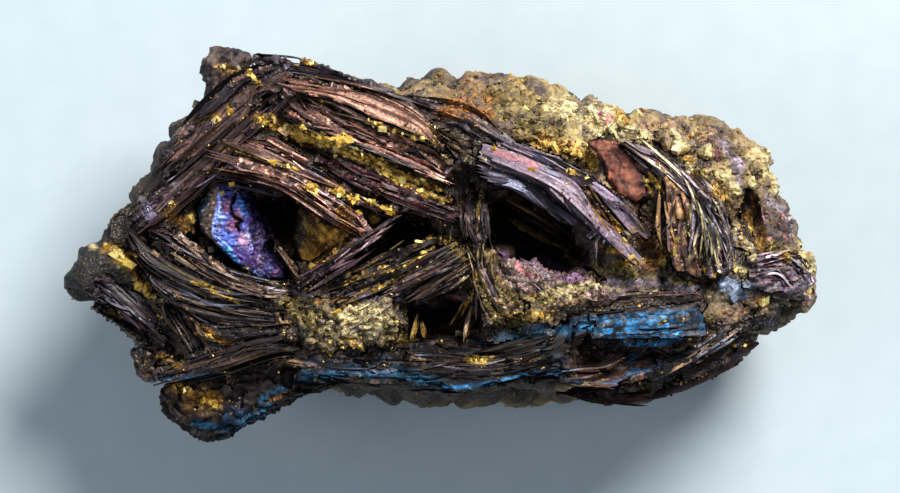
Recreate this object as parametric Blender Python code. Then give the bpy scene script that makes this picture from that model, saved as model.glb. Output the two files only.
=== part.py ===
"""Covellite specimen: a hand-sized piece of matrix with books of tabular covellite
crystals, pyrite seams and druse.  Modelled in metres at real size, +Z up, resting on its
flat sawn underside at Z = 0.  Plan dimensions below are millimetres from the middle."""

import math
import random

import bmesh
import bpy
from mathutils import Vector

MM = 0.001
GAP = 0.42 * MM         # room left around a piece, so that some 0.3 mm stays clear
FOOT_ROOM = 1.8         # the room is this much wider than the gap at a book's foot
END_WEAR = 0.7 * MM     # how far single sheets stand out of a book's broken end
STEP_LOW = 0.30 * MM    # least height step between neighbouring sheets
STEP_HIGH = 0.75 * MM   # largest height step between neighbouring sheets
FOOT_TAPER = 0.18       # a book narrows by this share of its width at each side of its foot
CLEAR_TOP = 45 * MM     # cutters run up to this height, over everything
FOOT_BAND = 0.8 * MM    # the lowest band of the matrix is left as sawn
FLAT_ANGLE = math.radians(0.4)  # faces closer to one plane than this become one
MIN_VOLUME = 1.0e-9     # nothing smaller than a cubic millimetre is kept as a piece

FINISHES = {
    "dark": ((0.050, 0.036, 0.042), 0.42, 0.45),
    "bronze": ((0.270, 0.165, 0.140), 0.36, 0.55),
    "lilac": ((0.300, 0.225, 0.300), 0.30, 0.55),
    "indigo": ((0.060, 0.050, 0.300), 0.22, 0.65),
    "mirror": ((0.035, 0.110, 0.210), 0.20, 0.70),
    "pyrite": ((0.560, 0.400, 0.110), 0.32, 0.80),
    "crust": ((0.390, 0.320, 0.170), 0.60, 0.10),
    "red": ((0.170, 0.055, 0.035), 0.45, 0.20),
    "rock": ((0.210, 0.155, 0.080), 0.80, 0.00),
}


def clear_scene():
    for item in list(bpy.context.scene.objects):
        bpy.data.objects.remove(item, do_unlink=True)


def finish(slot):
    material = bpy.data.materials.get(slot)
    if material is None:
        colour, roughness, metallic = FINISHES[slot]
        material = bpy.data.materials.new(slot)
        material.use_nodes = True
        shader = material.node_tree.nodes["Principled BSDF"]
        shader.inputs["Base Color"].default_value = (*colour, 1.0)
        shader.inputs["Roughness"].default_value = roughness
        shader.inputs["Metallic"].default_value = metallic
    return material


def weather(item, longest, inward, outward):
    """Split long edges and move every corner a little, so that the rock is broken and
    uneven.  The resting face stays flat."""
    rng = random.Random(item.name)
    bm = bmesh.new()
    bm.from_mesh(item.data)
    bmesh.ops.remove_doubles(bm, verts=bm.verts, dist=0.4 * MM)
    bmesh.ops.triangulate(bm, faces=bm.faces)
    for _ in range(2):
        edges = [e for e in bm.edges if e.calc_length() > longest]
        bmesh.ops.subdivide_edges(bm, edges=edges, cuts=1)
        bmesh.ops.triangulate(bm, faces=bm.faces)
    bm.normal_update()
    for v in bm.verts:
        if v.co.z > FOOT_BAND:
            v.co += v.normal * rng.uniform(-inward, outward)
            v.co.z = max(v.co.z, FOOT_BAND)
    bm.to_mesh(item.data)
    bm.free()


def place(name, bm, slot=None):
    """Put a closed bmesh into the scene as one named object."""
    bmesh.ops.recalc_face_normals(bm, faces=bm.faces)
    if bm.calc_volume(signed=True) < 0:
        bmesh.ops.reverse_faces(bm, faces=bm.faces)
    mesh = bpy.data.meshes.new(name)
    bm.to_mesh(mesh)
    bm.free()
    item = bpy.data.objects.new(name, mesh)
    bpy.context.scene.collection.objects.link(item)
    if slot:
        mesh.materials.append(finish(slot))
    return item


def loft(bm, rings):
    """Skin closed rings of equal length and cap both ends."""
    rows = [[bm.verts.new(point) for point in ring] for ring in rings]
    count = len(rows[0])
    for row, after in zip(rows, rows[1:]):
        for i in range(count):
            j = (i + 1) % count
            bm.faces.new((row[i], row[j], after[j], after[i]))
    bm.faces.new(rows[0][::-1])
    bm.faces.new(rows[-1])
    bmesh.ops.triangulate(bm, faces=bm.faces)


def hull(name, levels, slot=None):
    """Convex block through outlines given as (height, [(x, y), ...]) in millimetres."""
    bm = bmesh.new()
    for height, outline in levels:
        for x, y in outline:
            bm.verts.new((x * MM, y * MM, height * MM))
    found = bmesh.ops.convex_hull(bm, input=bm.verts)
    spare = [v for v in bm.verts if not v.link_faces]
    bmesh.ops.delete(bm, geom=spare, context="VERTS")
    bmesh.ops.dissolve_limit(
        bm, angle_limit=math.radians(0.5), verts=bm.verts, edges=bm.edges)
    return place(name, bm, slot)


def size_of(mesh):
    bm = bmesh.new()
    bm.from_mesh(mesh)
    bmesh.ops.triangulate(bm, faces=bm.faces)
    volume = bm.calc_volume(signed=True)
    bm.free()
    return volume


def combine(item, tools, operation):
    """Join or cut an item with other closed meshes, then drop those meshes.  The exact
    solver is used unless its answer cannot be right: a cut never adds, a join never removes."""
    group = bpy.data.collections.new(item.name + "_tools")
    for tool in tools:
        group.objects.link(tool)
    before = size_of(item.data)
    for solver in ("EXACT", "MANIFOLD"):
        change = item.modifiers.new("combine", "BOOLEAN")
        change.operation = operation
        change.operand_type = "COLLECTION"
        change.collection = group
        change.solver = solver
        view = bpy.context.evaluated_depsgraph_get()
        mesh = bpy.data.meshes.new_from_object(item.evaluated_get(view))
        item.modifiers.clear()
        after = size_of(mesh)
        cut_is_sound = operation == "DIFFERENCE" and MIN_VOLUME < after < before * 1.001
        join_is_sound = operation == "UNION" and after > before * 0.999
        if cut_is_sound or join_is_sound:
            break
    item.data = mesh
    for tool in tools:
        bpy.data.objects.remove(tool, do_unlink=True)
    bpy.data.collections.remove(group)


def islands(bm):
    """Sets of faces that hang together across plain edges."""
    left = set(bm.faces)
    groups = []
    while left:
        stack = [left.pop()]
        group = []
        while stack:
            face = stack.pop()
            group.append(face)
            for edge in face.edges:
                if len(edge.link_faces) == 2:
                    for other in edge.link_faces:
                        if other in left:
                            left.remove(other)
                            stack.append(other)
        groups.append(group)
    return groups


def volume_of(faces):
    total = 0.0
    for face in faces:
        corners = [v.co for v in face.verts]
        for second, third in zip(corners[1:], corners[2:]):
            total += corners[0].dot(second.cross(third)) / 6
    return total


def keep_largest(item):
    """A cut may leave crumbs and slivers: very short edges are merged as far as the surface
    stays closed, and only the largest body stays."""
    for shortest in (0.06 * MM, 0.02 * MM, 0.01 * MM, 0.004 * MM, 0.0015 * MM, 0):
        bm = bmesh.new()
        bm.from_mesh(item.data)
        bmesh.ops.triangulate(bm, faces=bm.faces)
        if shortest:
            bmesh.ops.remove_doubles(bm, verts=bm.verts, dist=shortest)
            bmesh.ops.dissolve_degenerate(bm, dist=shortest / 2, edges=bm.edges)
            bmesh.ops.dissolve_limit(
                bm, angle_limit=FLAT_ANGLE, verts=bm.verts, edges=bm.edges)
            bmesh.ops.triangulate(bm, faces=bm.faces)
        groups = sorted(islands(bm), key=volume_of, reverse=True)
        for group in groups[1:]:
            bmesh.ops.delete(bm, geom=group, context="FACES")
        if all(len(e.link_faces) == 2 for e in bm.edges):
            break
        bm.free()
        bm = None
    if bm is None:
        raise RuntimeError(item.name + " is not closed after its cut")
    bm.to_mesh(item.data)
    bm.free()


PIECES = []             # finished pieces in order of priority
CUTTERS = {}            # piece name -> rings of the room that neighbours must leave


def trim(item):
    """Cut the room of every earlier piece that comes near this one."""
    low, high = bounds([v.co for v in item.data.vertices])
    tools = []
    for other in PIECES:
        rings = CUTTERS[other.name]
        near_low, near_high = bounds([p for ring in rings for p in ring])
        if all(near_low[i] < high[i] and low[i] < near_high[i] for i in range(3)):
            tools.append(room(other.name))
    if tools:
        combine(item, tools, "DIFFERENCE")
        keep_largest(item)


def bounds(points):
    low = [min(p[i] for p in points) for i in range(3)]
    high = [max(p[i] for p in points) for i in range(3)]
    return low, high


def room(name):
    bm = bmesh.new()
    loft(bm, CUTTERS[name])
    return place("room_" + name, bm)


def book(name, slot, ribs, leaves, depth, lean, slant=(0, 0)):
    """A book of sheets.  Each rib gives the two plan edges and the top height; the sheets
    run along the ribs, stand on edge, and step up and down across the book.  Slant is how
    far the foot lies aside from the top, in plan."""
    rng = random.Random(name)
    steps = []
    for k in range(leaves):
        drop = rng.uniform(STEP_LOW, STEP_HIGH)
        steps.append(drop if k % 2 else 0.0)
    shift = Vector((slant[0], slant[1], -depth)) * MM
    rings = []
    room_rings = []
    for i, (ax, ay, bx, by, height) in enumerate(ribs):
        near = ribs[max(i - 1, 0)]
        far = ribs[min(i + 1, len(ribs) - 1)]
        along = Vector((far[0] + far[2] - near[0] - near[2],
                        far[1] + far[3] - near[1] - near[3], 0)).normalized()
        outward = -along if i == 0 else along
        is_end = i in (0, len(ribs) - 1)
        a = Vector((ax, ay, height)) * MM
        b = Vector((bx, by, height)) * MM
        rise = Vector((0, 0, lean * MM / 2))
        ring = []
        for k in range(leaves):
            reach = outward * rng.uniform(0, END_WEAR) if is_end else Vector()
            wander = rng.uniform(-0.12, 0.12) * MM
            for t in (k / leaves, (k + 1) / leaves):
                point = a.lerp(b, t) + rise * (1 - 2 * t) + reach
                ring.append(point - Vector((0, 0, steps[k] + wander)))
        for t in (1 - FOOT_TAPER, FOOT_TAPER):
            ring.append(a.lerp(b, t) + shift)
        rings.append(ring)
        side = (b - a).normalized() * GAP
        low = shift - Vector((0, 0, GAP))
        top = Vector((0, 0, CLEAR_TOP - height * MM))
        section = [a - side + top, b + side + top, b + side,
                   b + side * FOOT_ROOM + low, a - side * FOOT_ROOM + low, a - side]
        worn_end = [point + outward * (END_WEAR + GAP) for point in section]
        room_rings += [worn_end, section] if i == 0 else [section]
        if i == len(ribs) - 1:
            room_rings.append(worn_end)
    bm = bmesh.new()
    loft(bm, rings)
    item = place(name, bm, slot)
    trim(item)
    CUTTERS[name] = room_rings
    PIECES.append(item)


def widened(outline, by):
    """The outline with every corner pushed outwards along its own bisector."""
    area = sum(a[0] * b[1] - b[0] * a[1] for a, b in zip(outline, outline[1:] + outline[:1]))
    turn = 1 if area > 0 else -1
    wide = []
    for i, (x, y) in enumerate(outline):
        here = Vector((x, y))
        before = (here - Vector(outline[i - 1])).normalized()
        after = (Vector(outline[(i + 1) % len(outline)]) - here).normalized()
        out = Vector((before.y + after.y, -before.x - after.x)) * turn
        corner = here + out.normalized() * by * 1.3
        wide.append((corner.x, corner.y))
    return wide


def lump(name, slot, outline, top, depth):
    """A rounded mass with broken facets: four rings of one outline, capped."""
    rng = random.Random(name)
    mid = Vector((sum(p[0] for p in outline), sum(p[1] for p in outline))) / len(outline)
    profile = ((0.70, 1.0), (0.96, 0.55), (1.0, 0.28), (0.90, 0.06), (0.55, 0.0))
    rings = []
    for share, down in profile:
        ring = []
        for x, y in outline:
            flat = mid.lerp(Vector((x, y)), share * rng.uniform(0.97, 1.0))
            height = top - depth * down - rng.uniform(0, 0.35)
            ring.append(Vector((flat.x, flat.y, height)) * MM)
        rings.append(ring)
    bm = bmesh.new()
    loft(bm, rings)
    item = place(name, bm, slot)
    trim(item)
    wide = widened(outline, GAP / MM)
    room_rings = []
    for height in (top - depth - 2 * GAP / MM, CLEAR_TOP / MM):
        room_rings.append([Vector((x, y, height)) * MM for x, y in wide])
    CUTTERS[name] = room_rings
    PIECES.append(item)


clear_scene()

# Thick slab of dark sheets that runs down the upper left of the specimen.
book("arm_outer", "dark", [
    (-27.9, 9.5, -26.3, 6.9, 23.5),
    (-24.5, 13.2, -22.3, 10.3, 24.5),
    (-20.5, 16.5, -18.7, 13.5, 26.0),
    (-16.1, 18.3, -15.5, 15.9, 26.5),
], leaves=4, depth=7.0, lean=1.0, slant=(1.6, -1.4))
book("arm_inner", "dark", [
    (-31.2, 3.2, -29.5, 1.3, 22.5),
    (-26.3, 6.8, -24.5, 5.7, 25.0),
    (-22.3, 10.2, -20.7, 9.5, 26.0),
    (-18.7, 13.4, -17.7, 12.1, 27.0),
    (-15.5, 15.8, -15.4, 14.5, 27.5),
], leaves=4, depth=8.0, lean=-0.5, slant=(1.0, -0.9))

# Crest along the upper edge and the broad bronze ribbons beneath it.
book("crest_left", "dark", [
    (-18.7, 18.7, -15.5, 16.1, 25.0),
    (-14.5, 18.4, -14.1, 16.8, 26.0),
    (-10.0, 16.9, -10.2, 15.8, 26.0),
    (-5.9, 15.3, -6.4, 14.3, 25.0),
], leaves=4, depth=8.0, lean=1.2, slant=(0.4, -1.4))
book("crest_right", "dark", [
    (-5.5, 15.2, -6.1, 14.2, 25.0),
    (-1.5, 14.2, -2.5, 12.5, 25.5),
    (2.5, 12.9, 1.7, 10.7, 26.0),
    (6.1, 10.5, 4.9, 9.2, 26.0),
], leaves=4, depth=8.0, lean=1.0, slant=(0.2, -1.2))
book("bronze_upper", "bronze", [
    (-15.3, 16.5, -15.3, 15.3, 27.0),
    (-10.0, 15.6, -10.9, 14.4, 28.0),
    (-5.5, 14.1, -6.9, 12.6, 28.0),
    (-2.1, 12.1, -3.3, 11.2, 28.0),
    (0.1, 9.5, -0.4, 9.5, 27.5),
], leaves=3, depth=8.0, lean=-0.4)
book("olive_ribbon", "bronze", [
    (-2.3, 12.4, -1.9, 11.9, 26.0),
    (0.0, 11.3, 0.3, 9.5, 26.0),
    (2.0, 10.5, 3.3, 7.7, 26.5),
], leaves=3, depth=7.0, lean=0)
book("bronze_middle", "bronze", [
    (-15.2, 15.1, -16.5, 13.3, 26.0),
    (-11.5, 13.5, -12.7, 11.5, 27.0),
    (-8.0, 11.9, -9.3, 10.2, 27.5),
    (-3.5, 10.5, -4.7, 8.2, 27.0),
    (0.7, 8.7, -0.5, 6.4, 26.5),
], leaves=4, depth=8.0, lean=-0.6)

# Smooth lilac ribbons that roof the right-hand cavity.
book("lilac_main", "lilac", [
    (4.1, 10.3, 3.7, 8.0, 27.0),
    (8.5, 8.5, 8.8, 6.4, 27.5),
    (12.7, 6.3, 11.5, 4.7, 27.5),
    (15.5, 2.9, 14.6, 1.6, 27.0),
    (19.5, -1.1, 18.1, -1.7, 25.5),
], leaves=2, depth=1.6, lean=-0.5)
book("lilac_upper", "lilac", [
    (6.3, 10.6, 5.5, 9.8, 26.5),
    (11.3, 8.5, 10.7, 7.6, 26.5),
    (15.9, 5.7, 15.3, 4.6, 26.0),
    (20.3, 1.5, 19.1, 0.5, 25.0),
], leaves=3, depth=6.0, lean=0.5)
book("cavity_lip", "lilac", [
    (4.7, 7.9, 4.1, 6.3, 27.0),
    (7.7, 6.9, 6.7, 5.7, 27.0),
    (10.3, 4.5, 9.3, 3.9, 26.5),
    (12.9, 2.6, 12.1, 2.0, 26.0),
], leaves=2, depth=5.0, lean=-0.5)

# Striated bronze ribbons over the pocket, and the dark ones right of them.
book("ribbon_upper", "bronze", [
    (-20.7, 10.7, -22.1, 10.0, 26.0),
    (-17.7, 9.9, -18.9, 8.9, 27.0),
    (-14.3, 8.2, -15.3, 7.4, 27.0),
    (-9.7, 6.1, -10.5, 5.1, 26.0),
], leaves=3, depth=8.0, lean=-0.5)
book("ribbon_lower", "bronze", [
    (-22.8, 9.3, -23.7, 7.7, 26.5),
    (-19.1, 8.3, -19.9, 7.0, 27.5),
    (-15.3, 7.0, -16.1, 5.9, 27.5),
    (-11.3, 4.9, -12.5, 3.7, 27.0),
    (-8.7, 3.1, -10.0, 2.1, 26.5),
    (-7.4, 1.4, -8.2, 0.9, 26.0),
], leaves=4, depth=8.0, lean=-0.5)
book("ribbon_fore", "dark", [
    (-23.8, 7.6, -24.0, 6.8, 25.5),
    (-20.0, 6.8, -20.2, 6.2, 26.0),
    (-16.1, 5.7, -16.3, 5.2, 26.0),
], leaves=2, depth=5.0, lean=0)
book("dark_upper", "dark", [
    (-11.0, 8.8, -12.5, 7.9, 26.0),
    (-7.3, 7.2, -8.9, 5.9, 26.0),
    (-3.3, 5.3, -4.3, 4.0, 25.5),
    (1.1, 3.5, 0.3, 2.3, 25.0),
], leaves=4, depth=7.0, lean=-0.4)
book("dark_lower", "dark", [
    (-14.9, 7.7, -15.3, 7.2, 25.5),
    (-10.0, 5.9, -10.3, 4.7, 25.0),
    (-5.3, 4.1, -6.1, 2.9, 24.5),
], leaves=3, depth=6.0, lean=-0.4)

# Thin bars across the mouth of the pocket.
book("pocket_bar", "bronze", [
    (-14.8, -3.4, -14.2, -4.3, 25.5),
    (-11.5, -1.3, -10.9, -2.2, 26.5),
    (-8.5, 0.6, -7.9, -0.3, 26.5),
    (-3.7, 3.9, -3.2, 3.2, 25.5),
], leaves=2, depth=5.0, lean=-0.8)
book("pocket_splint", "dark", [
    (-16.9, -0.4, -16.4, -0.1, 23.0),
    (-14.3, -3.5, -13.7, -3.0, 24.5),
], leaves=1, depth=4.0, lean=0)

# Curved bundle of blades that runs in from the left tip.
book("bundle_upper", "bronze", [
    (-30.3, 2.2, -30.9, 1.4, 23.5),
    (-26.9, 1.1, -27.7, 0.1, 24.0),
    (-23.9, -0.9, -24.9, -1.9, 24.5),
    (-20.7, -3.3, -21.9, -3.9, 25.0),
    (-17.3, -4.7, -18.3, -5.1, 25.5),
], leaves=3, depth=7.0, lean=-0.3, slant=(0.2, 0.5))
book("bundle_middle", "dark", [
    (-31.1, 1.3, -31.5, 0.5, 23.0),
    (-28.5, -1.1, -29.5, -1.9, 23.5),
    (-24.9, -2.7, -25.9, -3.9, 24.0),
    (-20.9, -4.1, -21.3, -5.3, 24.5),
    (-16.1, -5.3, -16.5, -6.1, 25.0),
], leaves=4, depth=7.0, lean=-0.3, slant=(0.2, 0.5))
book("bundle_lower", "dark", [
    (-29.5, -2.1, -30.1, -2.7, 22.5),
    (-26.1, -4.1, -27.3, -5.1, 23.5),
    (-21.5, -5.5, -22.3, -6.7, 24.0),
    (-16.3, -6.3, -16.9, -7.3, 24.0),
], leaves=4, depth=7.0, lean=-0.5, slant=(0.2, 0.5))
book("dark_wedge", "dark", [
    (-25.7, -5.9, -26.1, -6.7, 22.5),
    (-21.3, -6.9, -23.1, -9.1, 23.0),
    (-16.1, -7.5, -17.1, -8.9, 23.5),
], leaves=3, depth=6.0, lean=-0.5)
book("ochre_laths", "bronze", [
    (-27.7, -5.3, -28.7, -5.5, 22.0),
    (-25.7, -7.3, -26.9, -7.9, 21.5),
    (-23.7, -10.1, -24.9, -10.7, 21.5),
], leaves=3, depth=5.0, lean=-0.5)
book("grey_plate", "dark", [
    (-34.1, -3.1, -35.1, -5.1, 21.5),
    (-29.5, -5.7, -30.7, -7.5, 21.0),
    (-26.9, -8.5, -27.9, -9.7, 20.0),
], leaves=3, depth=6.0, lean=-1.0, slant=(0.8, 0.6))
book("rim_plate", "dark", [
    (-35.2, -5.3, -35.3, -6.5, 19.0),
    (-30.9, -7.7, -32.1, -8.7, 19.0),
    (-27.9, -9.9, -29.5, -10.3, 18.5),
], leaves=3, depth=5.0, lean=-0.8, slant=(1.2, 1.0))
book("sill_bar", "dark", [
    (-28.5, -12.6, -28.1, -13.9, 21.5),
    (-23.1, -10.7, -22.5, -12.5, 22.5),
    (-18.3, -9.3, -17.7, -10.9, 23.0),
    (-15.3, -8.9, -14.9, -10.5, 23.5),
], leaves=3, depth=5.0, lean=-0.8, slant=(0.2, 1.0))

# Fan of blades that rises to the right from the hub under the pocket.
book("fan_upper", "bronze", [
    (-12.3, -3.7, -11.9, -4.6, 24.0),
    (-8.5, -2.1, -7.9, -3.2, 24.5),
    (-4.7, -0.3, -4.1, -1.3, 24.5),
    (-0.5, 1.3, -0.1, 0.5, 24.0),
], leaves=3, depth=6.0, lean=-0.5)
book("fan_gold", "dark", [
    (-11.1, -5.1, -10.5, -6.1, 24.5),
    (-7.7, -3.5, -6.9, -4.7, 25.0),
    (-4.9, -1.7, -4.1, -3.1, 25.0),
], leaves=3, depth=6.0, lean=-0.5)
book("fan_middle", "dark", [
    (-5.3, -3.9, -4.7, -5.1, 26.0),
    (-1.7, -1.7, -0.9, -2.8, 26.5),
    (1.3, -0.1, 1.9, -1.1, 26.0),
], leaves=4, depth=7.0, lean=-0.5)
book("fan_lower", "bronze", [
    (-3.3, -4.7, -2.7, -5.7, 25.5),
    (-0.5, -3.0, 0.2, -3.9, 26.0),
    (2.1, -1.4, 2.7, -2.3, 25.5),
], leaves=3, depth=6.0, lean=-0.5)

# Upright partition between the central void and the right-hand cavity.
book("centre_post", "dark", [
    (2.2, 5.5, 3.9, 5.9, 23.0),
    (2.1, 2.9, 3.7, 2.7, 25.5),
    (2.5, 0.7, 4.1, 0.5, 25.5),
], leaves=3, depth=7.0, lean=0)
book("centre_ridge", "bronze", [
    (2.3, 0.1, 4.3, 0.2, 25.5),
    (2.9, -2.7, 5.3, -2.5, 26.0),
    (3.9, -7.3, 7.9, -6.1, 25.5),
], leaves=4, depth=7.0, lean=0)

# Layered plates of the lower front face.
book("rim_left", "mirror", [
    (-14.5, -10.9, -14.1, -12.9, 23.5),
    (-9.7, -11.1, -9.5, -13.5, 24.0),
    (-4.9, -10.5, -4.7, -13.9, 24.0),
], leaves=4, depth=7.0, lean=-2.5, slant=(0.0, 1.6))
book("rim_centre", "dark", [
    (-4.5, -9.9, -4.3, -14.1, 25.0),
    (0.7, -9.9, 1.1, -14.3, 25.0),
    (5.5, -10.5, 5.7, -13.9, 25.0),
], leaves=4, depth=7.0, lean=-3.0, slant=(0.0, 1.8))
book("rim_right", "dark", [
    (5.9, -9.9, 5.9, -13.7, 25.0),
    (11.1, -8.5, 10.7, -13.3, 24.5),
    (13.9, -7.9, 11.5, -13.5, 24.0),
], leaves=4, depth=7.0, lean=-3.5, slant=(0.0, 2.0))
book("front_lens", "dark", [
    (11.7, -10.7, 11.1, -13.7, 21.5),
    (15.5, -9.7, 15.5, -14.1, 21.5),
    (19.9, -9.7, 20.5, -13.1, 21.5),
], leaves=4, depth=6.0, lean=-3.5, slant=(0.0, 2.2))
book("front_mirror", "mirror", [
    (14.3, -6.9, 14.5, -9.3, 25.5),
    (19.5, -6.3, 19.9, -9.5, 25.5),
    (24.9, -5.5, 25.9, -9.1, 25.0),
], leaves=4, depth=5.0, lean=-4.0, slant=(0.0, 1.2))
book("front_slant_a", "dark", [
    (20.3, -10.1, 21.1, -12.7, 22.0),
    (25.5, -9.3, 25.9, -11.1, 22.5),
    (29.7, -6.7, 30.3, -8.1, 22.5),
], leaves=3, depth=5.0, lean=-3, slant=(-0.8, 1.8))
book("front_slant_b", "dark", [
    (21.9, -13.5, 22.6, -15.1, 19.5),
    (26.1, -11.6, 26.2, -13.5, 20.0),
    (30.3, -8.8, 29.8, -11.7, 20.0),
], leaves=3, depth=5.0, lean=-2, slant=(-0.6, 1.4))
book("front_keel", "dark", [
    (11.5, -14.1, 11.7, -15.1, 16.0),
    (16.1, -14.3, 16.3, -16.0, 16.0),
    (21.1, -13.3, 21.7, -15.4, 16.0),
], leaves=3, depth=6.0, lean=-2, slant=(-0.2, 2.4))

# Fibrous fan and sheared plates at the right end.
book("fibre_fan_left", "bronze", [
    (21.7, 6.7, 22.7, 7.3, 27.0),
    (21.9, 2.5, 24.5, 3.3, 27.0),
    (22.7, -2.3, 25.5, -2.9, 26.0),
], leaves=5, depth=4.0, lean=0.5)
book("fibre_fan_right", "lilac", [
    (23.2, 7.5, 24.3, 7.9, 27.0),
    (25.0, 3.4, 27.2, 4.0, 27.0),
    (26.1, -3.0, 28.5, -1.7, 25.5),
], leaves=5, depth=4.0, lean=-0.5)
book("shear_ribbon", "lilac", [
    (18.9, 10.1, 18.3, 9.5, 26.5),
    (22.7, 8.1, 21.7, 7.1, 27.0),
    (26.1, 4.9, 24.9, 4.1, 26.5),
], leaves=3, depth=4.0, lean=0)
book("swirl_end", "lilac", [
    (30.7, -1.3, 30.3, -4.1, 25.0),
    (34.1, -1.1, 33.9, -4.7, 24.0),
    (36.3, -2.1, 36.3, -5.1, 21.0),
], leaves=5, depth=5.0, lean=-0.5, slant=(-0.8, 0.0))

# Large tabular crystal standing in the pocket, and the crystal crust on the wall beside it.
lump("pocket_crystal", "indigo", [
    (-23.2, 6.7), (-19.5, 5.9), (-18.3, 3.9), (-15.3, -2.3), (-15.5, -3.9), (-18.3, -3.5),
    (-20.9, -1.9), (-23.3, 0.5), (-24.5, 1.3), (-24.9, 3.9),
], top=24.0, depth=6.0)
lump("pocket_crust", "pyrite", [
    (-14.5, 4.0), (-11.5, 3.0), (-8.5, 0.9), (-10.5, -0.5), (-13.3, -2.1), (-14.5, -1.7),
    (-15.3, 0.9),
], top=22.0, depth=4.0)

# Fine druse and the granular boss on the floor of the lower centre.
lump("druse", "crust", [
    (-15.2, -6.7), (-13.3, -5.5), (-10.9, -6.1), (-8.3, -5.5), (-5.5, -5.5), (-3.9, -6.3),
    (-4.7, -7.9), (-4.9, -9.5), (-8.9, -10.2), (-13.1, -10.3), (-14.9, -8.7),
], top=25.5, depth=5.5)
lump("boss", "crust", [
    (5.9, -1.7), (8.5, -1.7), (11.1, -3.1), (14.5, -3.1), (15.9, -3.9), (14.3, -5.7),
    (11.5, -7.1), (8.5, -7.3), (6.1, -5.5),
], top=25.5, depth=6.0)

# Smooth red-brown plate in the right-hand matrix.
lump("red_plate", "red", [
    (14.3, 10.1), (16.7, 10.5), (19.5, 9.5), (21.3, 8.5), (21.1, 6.5), (19.5, 4.5),
    (17.7, 4.3), (16.1, 6.5), (15.5, 8.5),
], top=25.5, depth=4.0)

# Rounded masses at the rim: the knob at the top left, the lower lobe and its ledge.
lump("knob", "dark", [
    (-24.2, 18.5), (-22.8, 19.6), (-20.9, 19.5), (-18.9, 18.5), (-20.5, 16.9), (-23.9, 13.9),
], top=22.5, depth=6.0)
lump("lobe", "mirror", [
    (-28.7, -14.7), (-27.9, -14.1), (-23.1, -12.9), (-18.3, -11.5), (-14.7, -11.1), (-14.5, -13.1),
    (-10.1, -13.7), (-14.5, -15.1), (-18.3, -16.9), (-20.0, -18.0), (-22.3, -19.2), (-24.2, -19.3),
    (-26.0, -18.5), (-28.0, -16.8),
], top=20.0, depth=8.0)
lump("ledge", "dark", [
    (-31.3, -10.7), (-30.3, -10.2), (-27.7, -10.1), (-24.5, -10.9), (-28.7, -12.5), (-28.5, -13.9),
    (-30.5, -13.3), (-31.1, -12.1),
], top=19.5, depth=6.0)

# Seams of small pyrite crystals packed between the ribbons.
lump("seam_middle", "pyrite", [
    (-17.3, 13.1), (-12.9, 11.3), (-9.5, 10.0), (-4.7, 8.0), (0.1, 6.1), (1.1, 3.9),
    (-3.1, 5.5), (-7.1, 7.4), (-10.9, 9.0), (-14.5, 9.7), (-18.3, 11.7),
], top=24.5, depth=6.0)

# Central block, the only one that reaches the resting face.
CORE = [
    (0, [
        (-12.7, 7.0), (-6.5, 12.7), (2.5, 14.5), (14.0, 13.7), (22.3, 8.5), (25.9, 0.5),
        (24.5, -8.5), (19.5, -13.5), (11.5, -14.7), (2.5, -15.3), (-5.5, -14.9), (-10.9, -12.7),
        (-14.1, -4.5),
    ]),
    (7, [
        (-15.5, 9.5), (-8.5, 14.1), (2.5, 15.3), (15.5, 13.9), (25.5, 9.5), (29.7, -0.5),
        (28.0, -10.0), (20.5, -14.7), (15.5, -15.7), (1.0, -15.7), (-6.9, -14.7), (-14.5, -14.0),
        (-18.3, -4.5),
    ]),
    (14, [
        (-20.5, 13.5), (-10.0, 16.3), (-1.5, 14.5), (15.5, 13.7), (27.5, 9.5), (31.0, -0.5),
        (29.0, -10.0), (21.5, -14.7), (15.5, -15.5), (1.0, -14.9), (-10.5, -14.3), (-18.3, -13.9),
        (-24.5, -3.5),
    ]),
    (19, [
        (-20.9, 15.3), (-14.5, 18.1), (-5.9, 15.3), (7.5, 10.9), (16.5, 11.9), (27.5, 9.5),
        (31.1, -0.5), (29.7, -9.1), (25.9, -11.7), (19.5, -13.9), (5.5, -13.7), (-4.5, -13.9),
        (-14.5, -13.5), (-21.5, -11.7), (-25.5, -0.5),
    ]),
    (22.5, [
        (-18.3, 14.9), (-14.5, 16.9), (-5.9, 14.1), (7.5, 9.5), (15.5, 9.5), (27.5, 7.5),
        (30.0, -0.5), (28.5, -8.0), (15.5, -10.5), (5.5, -10.7), (-4.5, -10.7), (-14.5, -10.7),
        (-21.5, -8.5), (-23.0, -0.5),
    ]),
]
# Overhanging left part, under the slab and the curved bundle.
LEFT_WING = [
    (7, [
        (-21.5, 5.5), (-14.5, 10.5), (-14.5, -8.5), (-20.5, -11.5), (-25.5, -10.5), (-28.5, -5.5),
    ]),
    (13, [
        (-33.5, -2.5), (-29.5, 5.5), (-20.5, 14.5), (-14.5, 16.5), (-12.5, -8.5), (-19.5, -15.5),
        (-26.5, -15.5), (-30.5, -10.5), (-33.5, -6.5),
    ]),
    (18, [
        (-36.1, -3.9), (-34.9, -1.0), (-31.6, 3.3), (-30.5, 7.3), (-25.5, 14.1), (-18.3, 18.3),
        (-13.5, 16.5), (-13.5, -9.5), (-20.5, -13.1), (-29.5, -10.7), (-33.3, -7.7), (-35.5, -5.9),
    ]),
    (21.5, [
        (-32.9, -1.7), (-30.9, 3.0), (-29.3, 7.9), (-24.1, 13.7), (-17.9, 17.5), (-13.5, 15.5),
        (-14.5, -9.5), (-24.5, -10.5), (-30.5, -7.5),
    ]),
]
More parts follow.
